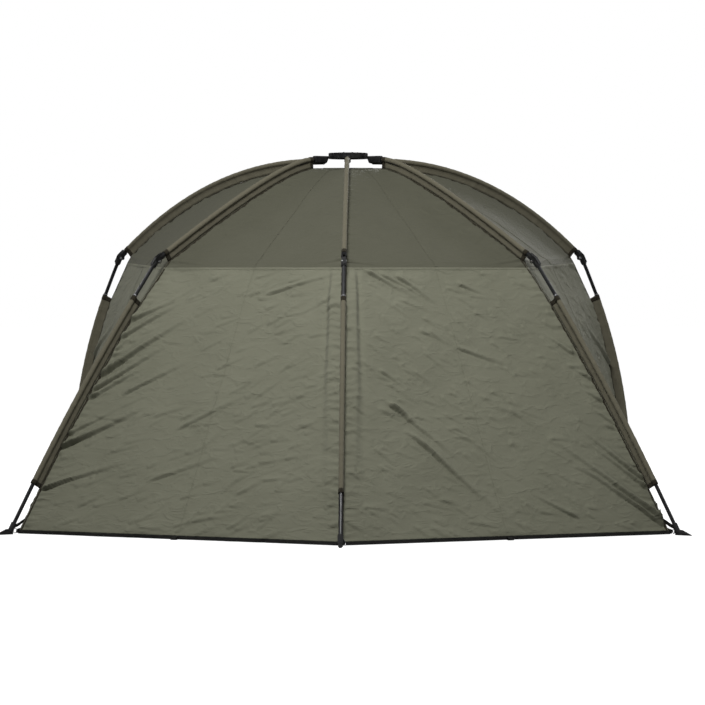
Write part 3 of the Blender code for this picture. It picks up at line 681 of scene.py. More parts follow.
WEBBING = webbing_finish("black_webbing", (0.0045, 0.0045, 0.0042), 0.003)
# Dark brown binding for the sleeves' mouths and the tapes beside the ribs' seams. On the tapes its dark
# colour also paints the shadow line along each sleeve.
BINDING_AND_SHADE = webbing_finish("brown_binding_and_painted_shade", (0.02, 0.017, 0.011), 0.0022)
THREAD = webbing_finish("olive_thread", (0.085, 0.084, 0.06), 0.0009)
print("webbing finishes:", WEBBING.name, BINDING_AND_SHADE.name, THREAD.name)


# %% [markdown]
# ## Nylon, tube and steel
# Moulded nylon is black with a fine grain and scuffed patches. The tube is black anodised
# aluminium, drawn lengthwise, so it keeps a long narrow highlight. The pins and rings are plain
# steel, and the ferrules are duller.

# %% Hard finishes
def moulded_finish(name, colour, grain, roughness):
    made, start, shader = new_finish(name, roughness, Specular_IOR_Level=0.22)
    at = start.node("ShaderNodeTexCoord", output=3)
    fine = noise(at, grain, 2)
    scuff = noise(at, 38, 5, 0.8)
    worn = start.sum("POWER", scuff, 3.0)
    plug_in(mixed(worn, (*colour, 1), (0.045, 0.045, 0.043, 1)), shader, "Base Color")
    plug_in(roughness + worn * 0.5 + fine * 0.08, shader, "Roughness")
    plug_in(bumped(fine, 0.00012, 0.6), shader, "Normal")
    return made


def metal_finish(name, colour, roughness, metallic, scratch):
    made, start, shader = new_finish(name, roughness, Metallic=metallic, Specular_IOR_Level=0.3)
    at = start.node("ShaderNodeTexCoord", output=3)
    cloudy = noise(at, 26, 4)
    fine = noise(at, scratch, 3)
    pale = tuple(min(c * 1.5 + 0.02, 1) for c in colour)
    plug_in(mixed(cloudy * 0.7, (*colour, 1), (*pale, 1)), shader, "Base Color")
    plug_in(roughness + (cloudy - 0.5) * 0.25, shader, "Roughness")
    plug_in(bumped(fine, 0.00008, 0.5), shader, "Normal")
    return made


NYLON = moulded_finish("hub_nylon", (0.0025, 0.0025, 0.0028), 1400, 0.48)
FOOT_NYLON = moulded_finish("foot_nylon", (0.008, 0.008, 0.009), 900, 0.5)
TUBE = metal_finish("tube_black", (0.004, 0.004, 0.0048), 0.4, 0.1, 700)
STEEL = metal_finish("pin_steel", (0.42, 0.42, 0.43), 0.28, 1.0, 1200)
DULL_STEEL = metal_finish("dull_steel", (0.17, 0.17, 0.175), 0.5, 0.7, 900)
ZIP = metal_finish("zip_metal", (0.03, 0.03, 0.032), 0.35, 0.8, 900)

PLAIN_NODES = {
    "hub_body": NYLON, "hub_cap": NYLON, "hub_ring": STEEL, "zip_slider_left": ZIP, "zip_slider_right": ZIP,
}
RIB_NODES = {
    "rib_block": NYLON, "upper_tube": TUBE, "lower_tube": TUBE, "foot": FOOT_NYLON,
    "knuckle_fork": NYLON, "knuckle_tongue": NYLON, "knuckle_pin": STEEL,
}
for place in BEARING:
    PLAIN_NODES.update({f"{name}_{place}": finish for name, finish in RIB_NODES.items()})
for name, finish in PLAIN_NODES.items():
    for holder in nodes[name].material_slots:
        holder.material = finish
print(len(PLAIN_NODES), "CAD nodes have their finish")

# %% [markdown]
# ## Sewing the canopy
# Each panel is cut in two along its middle line, and each half hangs on the rib or leg beside it.
# That is how the tent folds: the cloth gathers onto the ribs. So a roof half rides on its rib and a
# wall half on its leg. The panel is a grid on the canopy's surface, thickened by Solidify.

# %% Helpers for sheets
SMOOTH_UNDER = 55


def select_only(piece):
    """Leaves one piece selected and active."""
    bpy.ops.object.select_all(action="DESELECT")
    piece.select_set(True)
    bpy.context.view_layer.objects.active = piece


def apply_modifiers(piece):
    """Applies a piece's modifiers, in order."""
    select_only(piece)
    for step in list(piece.modifiers):
        bpy.ops.object.modifier_apply(modifier=step.name)
    piece.select_set(False)


def thicken(piece, thickness, offset, even=False):
    """Gives a sheet a wall: outwards at offset 1, inwards at -1, to both sides at 0."""
    step = piece.modifiers.new("thickness", "SOLIDIFY")
    step.thickness = thickness
    step.offset = offset
    step.use_even_offset = even
    apply_modifiers(piece)


def smooth_under(piece, degrees):
    """Shades a piece smooth, but for the edges that are sharper than this."""
    select_only(piece)
    bpy.ops.object.shade_smooth_by_angle(angle=math.radians(degrees))
    piece.select_set(False)


def sheet_from(name, points, flat, finish, thickness, outside=1.0, closed=False):
    """A sheet through a grid of points (rows, columns, 3), with its UV map in metres."""
    rows, columns = points.shape[:2]
    corner = np.arange(rows * columns).reshape(rows, columns)
    here = np.arange(columns if closed else columns - 1)
    there = (here + 1) % columns
    ring = (corner[:-1, here], corner[1:, here], corner[1:, there], corner[:-1, there])
    faces = np.stack(ring, axis=-1).reshape(-1, 4)
    mesh = bpy.data.meshes.new(name)
    mesh.from_pydata(points.reshape(-1, 3).tolist(), [], faces.tolist())
    layer = mesh.uv_layers.new(name="flat")
    layer.data.foreach_set("uv", flat.reshape(-1, 2)[faces.reshape(-1)].reshape(-1))
    mesh.shade_smooth()
    mesh.materials.append(finish)
    piece = new_object(name, mesh)
    if thickness:
        thicken(piece, thickness, outside, even=True)
        smooth_under(piece, SMOOTH_UNDER)
    return piece


# %% Hanging half a panel
BESIDE_RIB = 0.022
CARRIER = {"roof": "rib", "wall": "leg"}


def node_of(space, part):
    """The CAD node of a panel."""
    return "front_panel" if (space, part) == ("front", "wall") else f"{part}_{space}"


def name_of(half):
    """The name of half a panel: its node, and the rib that it hangs on."""
    space, part, side = half
    return f"{node_of(space, part)}_by_{SPACES[space][side]}"


def gather(piece, half):
    """Rides on half a panel's rib or leg, with a mesh of its own."""
    space, part, side = half
    place = SPACES[space][side]
    seam = taut(space, part, np.full(9, float(side)), np.linspace(0.1, 0.9, 9))
    inwards, level = taut(space, part, np.full(2, 0.5), np.array((0.6, 0.5))) - seam[4]
    along = seam[-1] - seam[0]
    axis = unit(inwards - along * (inwards @ along) / (along @ along))
    if part == "wall" and KIND[place] == FRONT:
        axis = unit(axis + unit(level))
    anchor = seam.mean(axis=0) + axis * (BESIDE_RIB if part == "wall" else 0)
    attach(piece, f"{CARRIER[part]}_{place}")
    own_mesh(piece)


# %% Cut and hang the ten panels
GRID = {"rear_left": 0.0045, "rear_right": 0.0045, "left": 0.0095, "right": 0.0095, "front": 0.011}
ROOF_GRID = 1.6
# The roof halves take the darkened roof cloth, whose colour paints the roof's shade.
PANEL_CLOTH = {"roof": SHADED_ROOF_CLOTH, "wall": CANOPY}
canopy_pieces = {}
grid_counts = {}


def lines_across(half, down):
    """Shares across and down of lines over half a panel, at those shares down."""
    space, part, side = half
    spread = np.linspace(side / 2, (side + 1) / 2, grid_counts[space, part][1])
    down, across = np.meshgrid(down, spread, indexing="ij")
    return across, down


for space in SPACES:
    for part in ("roof", "wall"):
        breadth, length = panel_size(space, part)
        pitch = GRID[space] * (ROOF_GRID if part == "roof" else 1)
        grid_counts[space, part] = int(length / pitch) + 2, int(breadth / pitch) + 2
        for side in (0, 1):
            half = space, part, side
            across, down = lines_across(half, np.linspace(0, 1, grid_counts[space, part][0]))
            points = on_cloth(space, part, across, down)
            flat = laid_flat(space, part, across, down)
            piece = sheet_from(name_of(half), points, flat, PANEL_CLOTH[part], CLOTH)
            gather(piece, half)
            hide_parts(node_of(space, part))
            canopy_pieces[half] = piece
print(len(canopy_pieces), "half panels,", sum(len(p.data.polygons) for p in canopy_pieces.values()), "faces")

# %% [markdown]
# ## Sleeves
# A sleeve is a strip folded round the tube and sewn to itself, and its edges run down as a web to
# the canopy's seam. It puckers a little along the stitches, and a binding closes each mouth.
# A closed outline is carried along the tube's line, so that pocket and web are one piece.

# %% Sleeve outline and sweep
POCKET_BORE = 0.0086
POCKET_WALL = 0.0018
WEB_HALF = 0.0012
SLEEVE_STEP = 0.008
WEB_FOOT = 0.0384
SLEEVE_WAVES = (0.023, 0.037, 0.061)


def sleeve_outline(swell):
    """Across and outward places round a sleeve, from the web's foot on one side to the other."""
    radius = POCKET_BORE + POCKET_WALL + swell
    around = np.radians(np.linspace(-62, 242, 26))
    arc = [(radius * math.cos(a), radius * math.sin(a) * 1.03) for a in around]
    half = WEB_HALF + swell
    web = [(half, -WEB_FOOT), (half, -0.03), (half, -0.021), (half * 1.6, -0.0145)]
    other = [(-x, y) for x, y in reversed(web)]
    return np.array(web + arc + other)


def sweep_sleeve(place, upper, start, stop, swell):
    """Rings of points along a sleeve's outside and bore, each with the outline that it follows."""
    rib = RIBS[KIND[place]]
    line = rib.upper if upper else rib.leg
    count = max(int((stop - start) / SLEEVE_STEP) + 2, 5)
    distance = np.linspace(start, stop, count)
    middle, outward = line.at(distance)
    outline = sleeve_outline(swell)
    chance = np.random.default_rng(int(abs(BEARING[place]) * 10) + 2 * (BEARING[place] < 0) + upper)
    wave = sum(np.sin(distance * math.tau / pitch + chance.uniform(0, 6)) for pitch in SLEEVE_WAVES) / 3
    pocket = outline[:, 1] > -0.013
    slack = np.clip((-0.012 - outline[:, 1]) / 0.014, 0, 1)
    rings = []
    for i in range(count):
        x = outline[:, 0] * np.where(pocket, 1 + 0.07 * wave[i], 1.0)
        y = outline[:, 1] * np.where(outline[:, 1] > 0, 1 + 0.06 * wave[i], 1.0)
        sway = 0.0008 * np.sin(distance[i] * 90 + 2 * wave[i]) * slack
        rings.append(in_tent(place, middle[i] + outward[i] * y[:, None], x + sway))
    turns = np.linspace(0, math.tau, 20, endpoint=False) - math.pi / 2
    bore = np.stack((np.cos(turns), np.sin(turns)), axis=-1) * (POCKET_BORE - swell / 4)
    inner = [in_tent(place, middle[i] + outward[i] * bore[:, 1:], bore[:, 0]) for i in range(count)]
    return distance, ((rings, outline), (inner, bore))


def closed_sleeve(name, place, upper, start, stop, finish, swell=0.0):
    """One closed piece: the outside, the bore, and the cloth between them at both mouths."""
    distance, walls = sweep_sleeve(place, upper, start, stop, swell)
    bm = bmesh.new()
    uv = bm.loops.layers.uv.new("flat")
    grids = []
    for rings, shape in walls:
        around = reach_along(np.vstack((shape, shape[:1])))
        grid = [[bm.verts.new(p) for p in ring] for ring in rings]
        grids.append(grid)
        for i in range(len(grid) - 1):
            for k in range(len(shape)):
                corners = ((i, k), (i, k + 1), (i + 1, k + 1), (i + 1, k))
                face = bm.faces.new([grid[a][b % len(shape)] for a, b in corners])
                face.smooth = True
                for loop, (a, b) in zip(face.loops, corners):
                    loop[uv].uv = (around[b], distance[a])
    for end in (0, -1):
        edges = []
        for grid in grids:
            ring = grid[end]
            edges += [bm.edges.get((ring[k], ring[(k + 1) % len(ring)])) for k in range(len(ring))]
        bmesh.ops.triangle_fill(bm, edges=edges, use_beauty=True)
    bmesh.ops.recalc_face_normals(bm, faces=bm.faces)
    mesh = bpy.data.meshes.new(name)
    bm.to_mesh(mesh)
    bm.free()
    mesh.materials.append(finish)
    return new_object(name, mesh)


# %% Sew the ten sleeves
MOUTH = 0.018
MOUTH_PROUD = 0.0015
BINDING_SWELL = 0.0009


def carry(piece, body):
    """Lets a piece ride on a body."""
    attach(piece, body)


for place in BEARING:
    rib = RIBS[KIND[place]]
    for word, body, ends in (("upper", "rib", rib.upper_ends), ("lower", "leg", rib.leg_ends)):
        upper = word == "upper"
        start, stop = (float(end) for end in ends)
        piece = closed_sleeve(f"{word}_sleeve_cloth_{place}", place, upper, start, stop, SLEEVE)
        mouths = []
        for label, first, last in (("top", -MOUTH_PROUD, MOUTH), ("low", -MOUTH, MOUTH_PROUD)):
            end = start if label == "top" else stop
            name = f"{word}_mouth_{label}_{place}"
            mouths.append(closed_sleeve(name, place, upper, end + first, end + last, BINDING_AND_SHADE, BINDING_SWELL))
        for part in (piece, *mouths):
            carry(part, f"{body}_{place}")
        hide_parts(f"{word}_sleeve_{place}")
print("ten sleeves on", len(BEARING), "ribs")

# %% [markdown]
# ## Tapes, hem and felled seams
# Where panels meet, the sewer folds the edges and covers them with tape. A dark brown tape lies
# beside each rib's seam, and its dark colour also paints the shadow line along each sleeve. A black
# binding closes the hem and reaches the ground, and felled seams of the canopy's own cloth run down
# the middle of a gore and along the crease. Each strip is drawn on the canopy's own surface, a
# thread's thickness above it, and folds together with its panel.

# %% Strips on the cloth
TAPE_GAP = 0.0006
TAPE = 0.0008
HEM_BAND = 0.005
HEM_ROWS = 3
SEAM_TAPE = (0.0022, 0.0055, 0.0095)
FELL = (0.0, 0.0032, 0.0064)
trims = {half: [] for half in canopy_pieces}


def add_trim(piece, half):
    """Hangs a piece on half a panel, and notes it as lying there."""
    gather(piece, half)
    trims[half].append(piece)


def lines_down(half, offsets, down, from_middle=False):
    """Shares across and down of lines that keep those distances from the rib's seam or the middle."""
    space, part, side = half
    offsets, down = np.meshgrid(offsets, down)
    share = offsets / (2 * half_width(space, part, down))
    if from_middle:
        share = 0.5 - share
    return (share if side == 0 else 1 - share[:, ::-1]), down


def add_strip(word, half, across, down, finish, thickness=TAPE, below=(), above=None):
    """A tape on half a panel, with rows above or below the cloth's edge if asked."""
    space, part = half[:2]
    points = on_cloth(space, part, across, down, CLOTH + TAPE_GAP)
    flat = laid_flat(space, part, across, down)
    if above is not None:
        points = np.concatenate((above, points))
        flat = np.concatenate((flat[:1] - (0, 0.008), flat[:1] - (0, 0.004), flat))
    if below:
        drop = points[-1] - points[-2]
        drop /= -drop[:, 2:]
        points = np.concatenate((points, [points[-1] + drop * depth for depth in below]))
        flat = np.concatenate((flat, [flat[-1] + (0, depth) for depth in below]))
    order = slice(None) if across[0, 0] < across[0, -1] else slice(None, None, -1)
    piece = sheet_from(f"{word}_{name_of(half)}", points[:, order], flat[:, order], finish, thickness)
    add_trim(piece, half)


# %% Lay every strip
TAPE_RUN = {"roof": (0.02, 0.996), "wall": (0.004, 0.996)}
MIDDLE_RUN = {"roof": (0.12, 0.985), "wall": (0.01, 0.985)}
ABOVE_CREASE = np.array((0.005, 0.0015))
BELOW_CREASE = np.array((0.0015, 0.006, 0.011))
HEM = 0.0012
for half in canopy_pieces:
    space, part = half[:2]
    rows = grid_counts[space, part][0]
    # The tape's dark colour paints the shadow line along each sleeve, as well as being the seam's tape.
    across, down = lines_down(half, SEAM_TAPE, np.linspace(*TAPE_RUN[part], rows))
    add_strip("seam_tape_and_shade_line", half, across, down, BINDING_AND_SHADE)
    across, down = lines_down(half, FELL, np.linspace(*MIDDLE_RUN[part], rows), from_middle=True)
    add_strip("middle_seam", half, across, down, PANEL_CLOTH[part], TAPE * 0.8)
    if part == "wall":
        across, down = lines_across(half, 1 - ABOVE_CREASE / panel_size(space, "roof")[1])
        over = on_cloth(space, "roof", across, down, CLOTH + TAPE_GAP / 2)
        length = panel_size(space, part)[1]
        across, down = lines_across(half, BELOW_CREASE / length)
        add_strip("crease_seam", half, across, down, CANOPY, TAPE / 2, above=over)
        across, down = lines_across(half, 1 - np.linspace(HEM_BAND, 0, HEM_ROWS) / length)
        add_strip("hem", half, across, down, WEBBING, HEM, below=(0.004, 0.008, HEM_HEIGHT - HEM))
print(sum(len(pieces) for pieces in trims.values()), "strips on the canopy")

# %% [markdown]
# ## Stitches
# Lockstitch shows as a row of short raised threads with small gaps. One stitch is a stretched
# diamond of eight faces, which is enough at this size, and it is laid along lines on the tapes.

# %% Thread along lines
STITCH = (0.0038, 0.0009, 0.0004)
STITCH_PITCH = 0.0056
STITCH_AHEAD = 0.0005
DIAMOND = ((1, 3, 5), (3, 0, 5), (0, 2, 5), (2, 1, 5), (3, 1, 4), (0, 3, 4), (2, 0, 4), (1, 2, 4))


def threads(name, lines, finish, size=STITCH, pitch=STITCH_PITCH):
    """One mesh of small diamonds along lines of (points, outward directions)."""
    corners, faces = [], []
    for points, outward in lines:
        reach = reach_along(points)
        at = np.arange(pitch / 2, reach[-1], pitch)
        middle = read_at(at, reach, points)
        ahead = read_at(at + STITCH_AHEAD, reach, points) - read_at(at - STITCH_AHEAD, reach, points)
        ahead = unit(ahead)
        up = read_at(at, reach, outward)
        up = unit(up - ahead * np.sum(up * ahead, axis=1, keepdims=True))
        spans = (ahead * (size[0] / 2), np.cross(up, ahead) * (size[1] / 2), up * size[2])
        for index in range(len(at)):
            base = len(corners)
            for span in spans:
                corners += [middle[index] - span[index], middle[index] + span[index]]
            faces += [tuple(base + corner for corner in face) for face in DIAMOND]
    mesh = bpy.data.meshes.new(name)
    mesh.from_pydata([tuple(corner) for corner in corners], [], faces)
    layer = mesh.uv_layers.new(name="flat")
    place = np.array(corners)[np.array(faces).reshape(-1)]
    layer.data.foreach_set("uv", np.ascontiguousarray(place[:, (0, 2)]).reshape(-1))
    mesh.materials.append(finish)
    return new_object(name, mesh)


def thread_line(half, across, down, lift):
    """A line on the panel as points and outward directions."""
    space, part = half[:2]
    return on_cloth(space, part, across, down, lift), facing(space, part, across, down)


# %% Sew every panel
ON_CLOTH = CLOTH + TAPE_GAP
ON_TAPE = CLOTH + TAPE_GAP + TAPE
# Metres from the rib's seam or from the middle, the run down, and how high the thread lies.
DOWN_LINES = (
    (0.0035, (0.03, 0.99), False, ON_TAPE),
    (0.0082, (0.03, 0.99), False, ON_TAPE),
    (0.0048, (0.13, 0.98), True, ON_TAPE - TAPE * 0.2),
)
CREASE_LINES = ((0.0035, ON_TAPE), (0.009, ON_TAPE))
HEM_LINES = ((HEM_BAND + 0.004, ON_CLOTH), (0.0015, ON_TAPE + 0.0005))
thread_count = 0
for half in canopy_pieces:
    space, part = half[:2]
    lines = []
    for offset, run, from_middle, lift in DOWN_LINES:
        run = np.linspace(*run, grid_counts[space, part][0])
        across, down = lines_down(half, (offset,), run, from_middle)
        lines.append(thread_line(half, across[:, 0], down[:, 0], lift))
    if part == "wall":
        length = panel_size(space, part)[1]
        from_hem = tuple((length - metres, lift) for metres, lift in HEM_LINES)
        for metres, lift in CREASE_LINES + from_hem:
            across, down = lines_across(half, (metres / length,))
            lines.append(thread_line(half, across[0], down[0], lift))
    piece = threads(f"thread_{name_of(half)}", lines, THREAD)
    add_trim(piece, half)
    thread_count += len(piece.data.polygons) // 8
print(thread_count, "stitches on the panels")

# %% [markdown]
# ## Small metal parts
# Each leg has a thin ferrule where its sleeve starts, each hem corner is tied to its foot through
# a D ring, and five screws hold the hub's cap. Each is modelled once from a primitive and then
# copied: an open tube gets a wall and rounded rims, a torus is pressed flat on one side, and the
# screw's head is inset and sunk for its key.

# %% Ferrules
FERRULE_RADIUS = 0.0094
FERRULE_LENGTH = 0.0045
FERRULE_WALL = 0.0011
FERRULE_BEFORE_SLEEVE = 0.0075


def pick(piece, test):
    """Selects the vertices of a piece whose place passes the test, and enters edit mode."""
    bpy.ops.object.mode_set(mode="EDIT")
    bpy.ops.mesh.select_all(action="DESELECT")
    bpy.ops.object.mode_set(mode="OBJECT")
    for corner in piece.data.vertices:
        corner.select = bool(test(corner.co))
    bpy.ops.object.mode_set(mode="EDIT")


def put(piece, at, along):
    """Turns a piece's Z to a direction, moves it there and applies both."""
    z = Vector(along).normalized()
    x = Vector((0, 0, 1)).cross(z).normalized() if abs(z.z) < 0.99 else Vector((1, 0, 0))
    piece.matrix_world = Matrix.Translation(at) @ Matrix((x, z.cross(x), z)).transposed().to_4x4()
    select_only(piece)
    bpy.ops.object.transform_apply(location=True, rotation=True, scale=True)
    piece.select_set(False)


def round_rims(piece, width, degrees):
    """Bevels the edges that are sharper than this."""
    rim = piece.modifiers.new("rim", "BEVEL")
    rim.width, rim.segments, rim.angle_limit = width, 2, math.radians(degrees)
    apply_modifiers(piece)


bpy.ops.object.select_all(action="DESELECT")
bpy.ops.mesh.primitive_cylinder_add(
    vertices=36, radius=FERRULE_RADIUS, depth=FERRULE_LENGTH, end_fill_type="NOTHING"
)
ferrule = bpy.context.object
pick(ferrule, lambda co: True)
bpy.ops.mesh.subdivide(number_cuts=1)
bpy.ops.object.mode_set(mode="OBJECT")
thicken(ferrule, FERRULE_WALL, -1)
round_rims(ferrule, 0.0003, 40)
ferrule.data.materials.append(DULL_STEEL)
smooth_under(ferrule, 35)
for place in BEARING:
    rib = RIBS[KIND[place]]
    spot, outward = rib.leg.at(rib.leg_ends[0] - FERRULE_BEFORE_SLEEVE)
    centre = in_tent(place, spot)
    ahead = in_tent(place, spot + np.array((outward[1], -outward[0]))) - centre
    piece = new_object(f"ferrule_{place}", ferrule.data.copy())
    put(piece, centre, ahead)
    carry(piece, f"leg_{place}")
bpy.data.objects.remove(ferrule)
print(len(BEARING), "ferrules")

# %% Rings at the feet
RING_RADIUS = 0.0095
RING_WIRE = 0.0015
RING_SIDE = {place: -0.013 if place == "rear_left" else 0.013 for place in BEARING}
RING_OUT = 0.016
RING_HEIGHT = 0.0135
RING_FLAT = -RING_RADIUS * 0.3

bpy.ops.object.select_all(action="DESELECT")
bpy.ops.mesh.primitive_torus_add(
    major_radius=RING_RADIUS, minor_radius=RING_WIRE, major_segments=40, minor_segments=12
)
ring = bpy.context.object
pick(ring, lambda co: co.x < RING_FLAT)
bpy.ops.transform.resize(value=(0.45, 1.06, 1), center_override=(RING_FLAT, 0, 0))
bpy.ops.object.mode_set(mode="OBJECT")
bpy.ops.object.shade_smooth()
ring.data.materials.append(STEEL)
for place in BEARING:
    outward, across = rib_axes(place)
    spot = np.array((RIBS[KIND[place]].hem[0] + RING_OUT, RING_HEIGHT))
    piece = new_object(f"foot_ring_{place}", ring.data.copy())
    put(piece, in_tent(place, spot, np.array(RING_SIDE[place])), across * 0.8 + outward * 0.5)
    carry(piece, f"leg_{place}")
bpy.data.objects.remove(ring)
print(len(BEARING), "rings at the feet")

# %% Screws of the hub's cap
SCREW_RADIUS = 0.0036
SCREW_PROUD = 0.0012
SCREW_CIRCLE = 0.5
SCREW_BEARINGS = (25.9, 85.9, 180, -85.9, -25.9)

bpy.ops.object.select_all(action="DESELECT")
bpy.ops.mesh.primitive_cylinder_add(vertices=24, radius=SCREW_RADIUS, depth=SCREW_PROUD * 2)
screw = bpy.context.object
pick(screw, lambda co: co.z > 0)
bpy.ops.mesh.inset(thickness=SCREW_RADIUS * 0.42)
bpy.ops.mesh.extrude_region_move(TRANSFORM_OT_translate={"value": (0, 0, -SCREW_PROUD * 1.3)})
bpy.ops.object.mode_set(mode="OBJECT")
round_rims(screw, 0.00035, 50)
screw.data.materials.append(STEEL)
cap_low, cap_high = (Vector(corner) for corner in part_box("hub_cap"))
cap_radius = (cap_high.x - cap_low.x) / 2
for index, bearing in enumerate(SCREW_BEARINGS):
    turn = math.radians(bearing)
    at = Vector((math.sin(turn), -math.cos(turn), 0)) * cap_radius * SCREW_CIRCLE
    piece = new_object(f"cap_screw_{index + 1}", screw.data.copy())
    put(piece, (at.x, HUB_Y + at.y, cap_high.z), (0, 0, 1))
    carry(piece, "hub")
bpy.data.objects.remove(screw)
print(len(SCREW_BEARINGS), "screws; the cap is", round(cap_radius * 2000), "mm across")

# %% [markdown]
# ## Ties and peg loops
# At each foot a webbing tab holds the hem's corner to the ring, a tie holds the ring to the foot,
# and a stay above them holds the wall to the leg. A loop for a peg hangs from the hem half way
# between two feet. All are strips of black webbing along a bent path.

# %% Webbing along a path
STRAP_WIDTH = 0.016
STRAP = 0.0012
FOOT_INSIDE = 0.012
# A strap's lean across the rib and upwards, its width, and its path. A step of the path says what
# it starts from, and then gives metres outwards, the height, and the share towards the ring's side.
TIES = {
    "corner_tab": (0.35, 0.9, STRAP_WIDTH * 0.9, (
        ("hem", -0.030, 0.030, 0.3), ("hem", -0.012, 0.019, 0.6), ("ring", -0.009, 0.014, 1.0),
        ("ring", -0.006, 0.0115, 1.0), ("ring", -0.010, 0.0095, 1.0), ("hem", -0.012, 0.0125, 0.6),
        ("hem", -0.022, 0.020, 0.3),
    )),
    "foot_tie": (0.4, 0.9, STRAP_WIDTH * 0.8, (
        ("foot", 0.0, 0.030, 0.0), ("foot", -0.006, 0.024, 0.45), ("ring", 0.007, 0.0165, 1.0),
        ("ring", 0.0045, 0.0125, 1.0), ("ring", 0.009, 0.0115, 0.9), ("foot", -0.004, 0.017, 0.4),
        ("foot", 0.002, 0.021, 0.0),
    )),
    "corner_stay": (0.3, 0.92, STRAP_WIDTH, (
        ("hem", -0.030, 0.056, 0.45), ("hem", -0.014, 0.048, 0.5), ("hem", 0.004, 0.037, 0.5),
        ("foot", -0.004, 0.028, 0.35), ("foot", 0.004, 0.025, 0.1),
    )),
}


def strap(name, path, sideways, width):
    """A webbing strip along a smoothed path, as wide as asked along one direction."""
    path = np.asarray(path, float)
    for _ in range(3):
        rounded = np.repeat(path, 2, axis=0)
        rounded[1:-1:2] = path[:-1] * 0.75 + path[1:] * 0.25
        rounded[2::2] = path[:-1] * 0.25 + path[1:] * 0.75
        path = rounded
    across = np.linspace(-0.5, 0.5, 5) * width
    points = path[:, None, :] + across[None, :, None] * sideways
    flat = np.stack(np.meshgrid(across, reach_along(path)), axis=-1)
    return sheet_from(name, points, flat, WEBBING, STRAP, outside=0.0)


corner_ties = {}
for place in BEARING:
    rib = RIBS[KIND[place]]
    across = rib_axes(place)[1]
    starts = {"hem": rib.hem[0], "ring": rib.hem[0] + RING_OUT, "foot": rib.foot[0] - FOOT_INSIDE}
    corner_ties[place] = []
    for word, (lean, rise, width, steps) in TIES.items():
        path = [
            in_tent(place, np.array((starts[start] + out, height)), np.array(RING_SIDE[place] * share))
            for start, out, height, share in steps
        ]
        piece = strap(f"{word}_{place}", path, across * lean + UP * rise, width)
        carry(piece, f"leg_{place}")
        corner_ties[place].append(piece)
print(len(corner_ties) * len(TIES), "ties at the feet")

# %% Peg loops
LOOP_PATH = (
    (0.0, 0.012), (0.006, 0.014), (0.016, 0.011), (0.026, 0.0045),
    (0.030, 0.0022), (0.024, 0.0014), (0.010, 0.0016), (0.002, 0.004),
)
LOOP_GAP = 0.002
LOOP_WIDTH = 0.021
for space in SPACES:
    middle = taut(space, "wall", np.array((0.5,)), np.array((1.0,)))[0]
    first, second = (in_tent(place, RIBS[KIND[place]].hem) for place in SPACES[space])
    along = unit(second - first)
    out = np.array((-along[1], along[0], 0.0))
    out *= math.copysign(1, float(out @ (middle - INSIDE)))
    path = [middle * (1, 1, 0) + out * (r + LOOP_GAP) + UP * z for r, z in LOOP_PATH]
    add_trim(strap(f"peg_loop_{space}", path, along, LOOP_WIDTH), (space, "wall", 0))
print(len(SPACES), "peg loops")

# %% [markdown]
# ## The zips of the front panel
# The front panel closes with a zip beside each front leg. A zip is a woven tape with two rows
# of nylon teeth. The tape rides on the leg, as the slider does, and the teeth are short
# threads laid across it.

# %% Zip tapes and teeth
ZIP_LINE = 0.032
ZIP_ACROSS = ZIP_LINE + np.array((-1, -0.5, 0, 0.5, 1)) * 0.014
ZIP_RUN = (0.03, 0.985)
ZIP_TAPE = 0.0006
ZIP_END = 0.004
TOOTH = (0.0042, 0.0014, 0.0007)
TOOTH_PITCH = 0.0021
TOOTH_LIFT = 0.0009
zip_parts = {}
for side, label in enumerate(("right", "left")):
    half = ("front", "wall", side)
    run = np.linspace(*ZIP_RUN, grid_counts["front", "wall"][0])
    across, down = lines_down(half, ZIP_ACROSS, run)
    points = on_cloth("front", "wall", across, down, ON_CLOTH)
    flat = laid_flat("front", "wall", across, down)
    tape = sheet_from(f"zip_tape_{label}", points, flat, WEBBING, ZIP_TAPE)
    across, down = lines_down(half, (ZIP_LINE,), run)
    spine, outward = thread_line(half, across[:, 0], down[:, 0], ON_CLOTH + TOOTH_LIFT)
    sideways = unit(np.cross(outward, np.gradient(spine, axis=0)))
    reach = reach_along(spine)
    lines = []
    for count, at in enumerate(np.arange(ZIP_END, reach[-1] - ZIP_END, TOOTH_PITCH)):
        centre, up = read_at(at, reach, spine), read_at(at, reach, outward)
        over = read_at(at, reach, sideways) * (-1) ** count
        lines.append((np.array((centre - over * 0.0006, centre + over * 0.0034)), np.array((up, up))))
    teeth = threads(f"zip_teeth_{label}", lines, ZIP, TOOTH, ZIP_END)
    carry(tape, f"leg_front_{label}")
    carry(teeth, f"leg_front_{label}")
    zip_parts[side] = [tape, teeth]
    print(len(lines), "teeth on the", label)

# %% [markdown]
# ## Crown patch and the cut of each sheet
# A round patch on top covers the point where the five roofs meet. Then for every sheet the
# widths it was cut to, its length and what lies on it are worked out.

# %% Crown patch
CROWN_REACH = 0.078
CROWN_ROWS, CROWN_COLUMNS = 16, 15
CROWN_CLOTH = 0.0012
rings, flats = [], []
for down in np.linspace(0.004, CROWN_REACH, CROWN_ROWS):
    ring, flat = [], []
    for order, space in enumerate(SPACES):
        across = np.linspace(0, 1, CROWN_COLUMNS, endpoint=False)
        spot = (space, "roof", across, np.full(CROWN_COLUMNS, down))
        ring.append(taut(*spot) + facing(*spot) * (CLOTH + CROWN_CLOTH))
        turn = (order + across) * math.tau / 5
        flat.append(np.stack((np.cos(turn), np.sin(turn)), axis=-1) * down)
    rings.append(np.concatenate(ring))
    flats.append(np.concatenate(flat))
rings.insert(0, np.repeat(rings[0].mean(axis=0)[None], len(rings[0]), axis=0))
flats.insert(0, np.zeros_like(flats[0]))
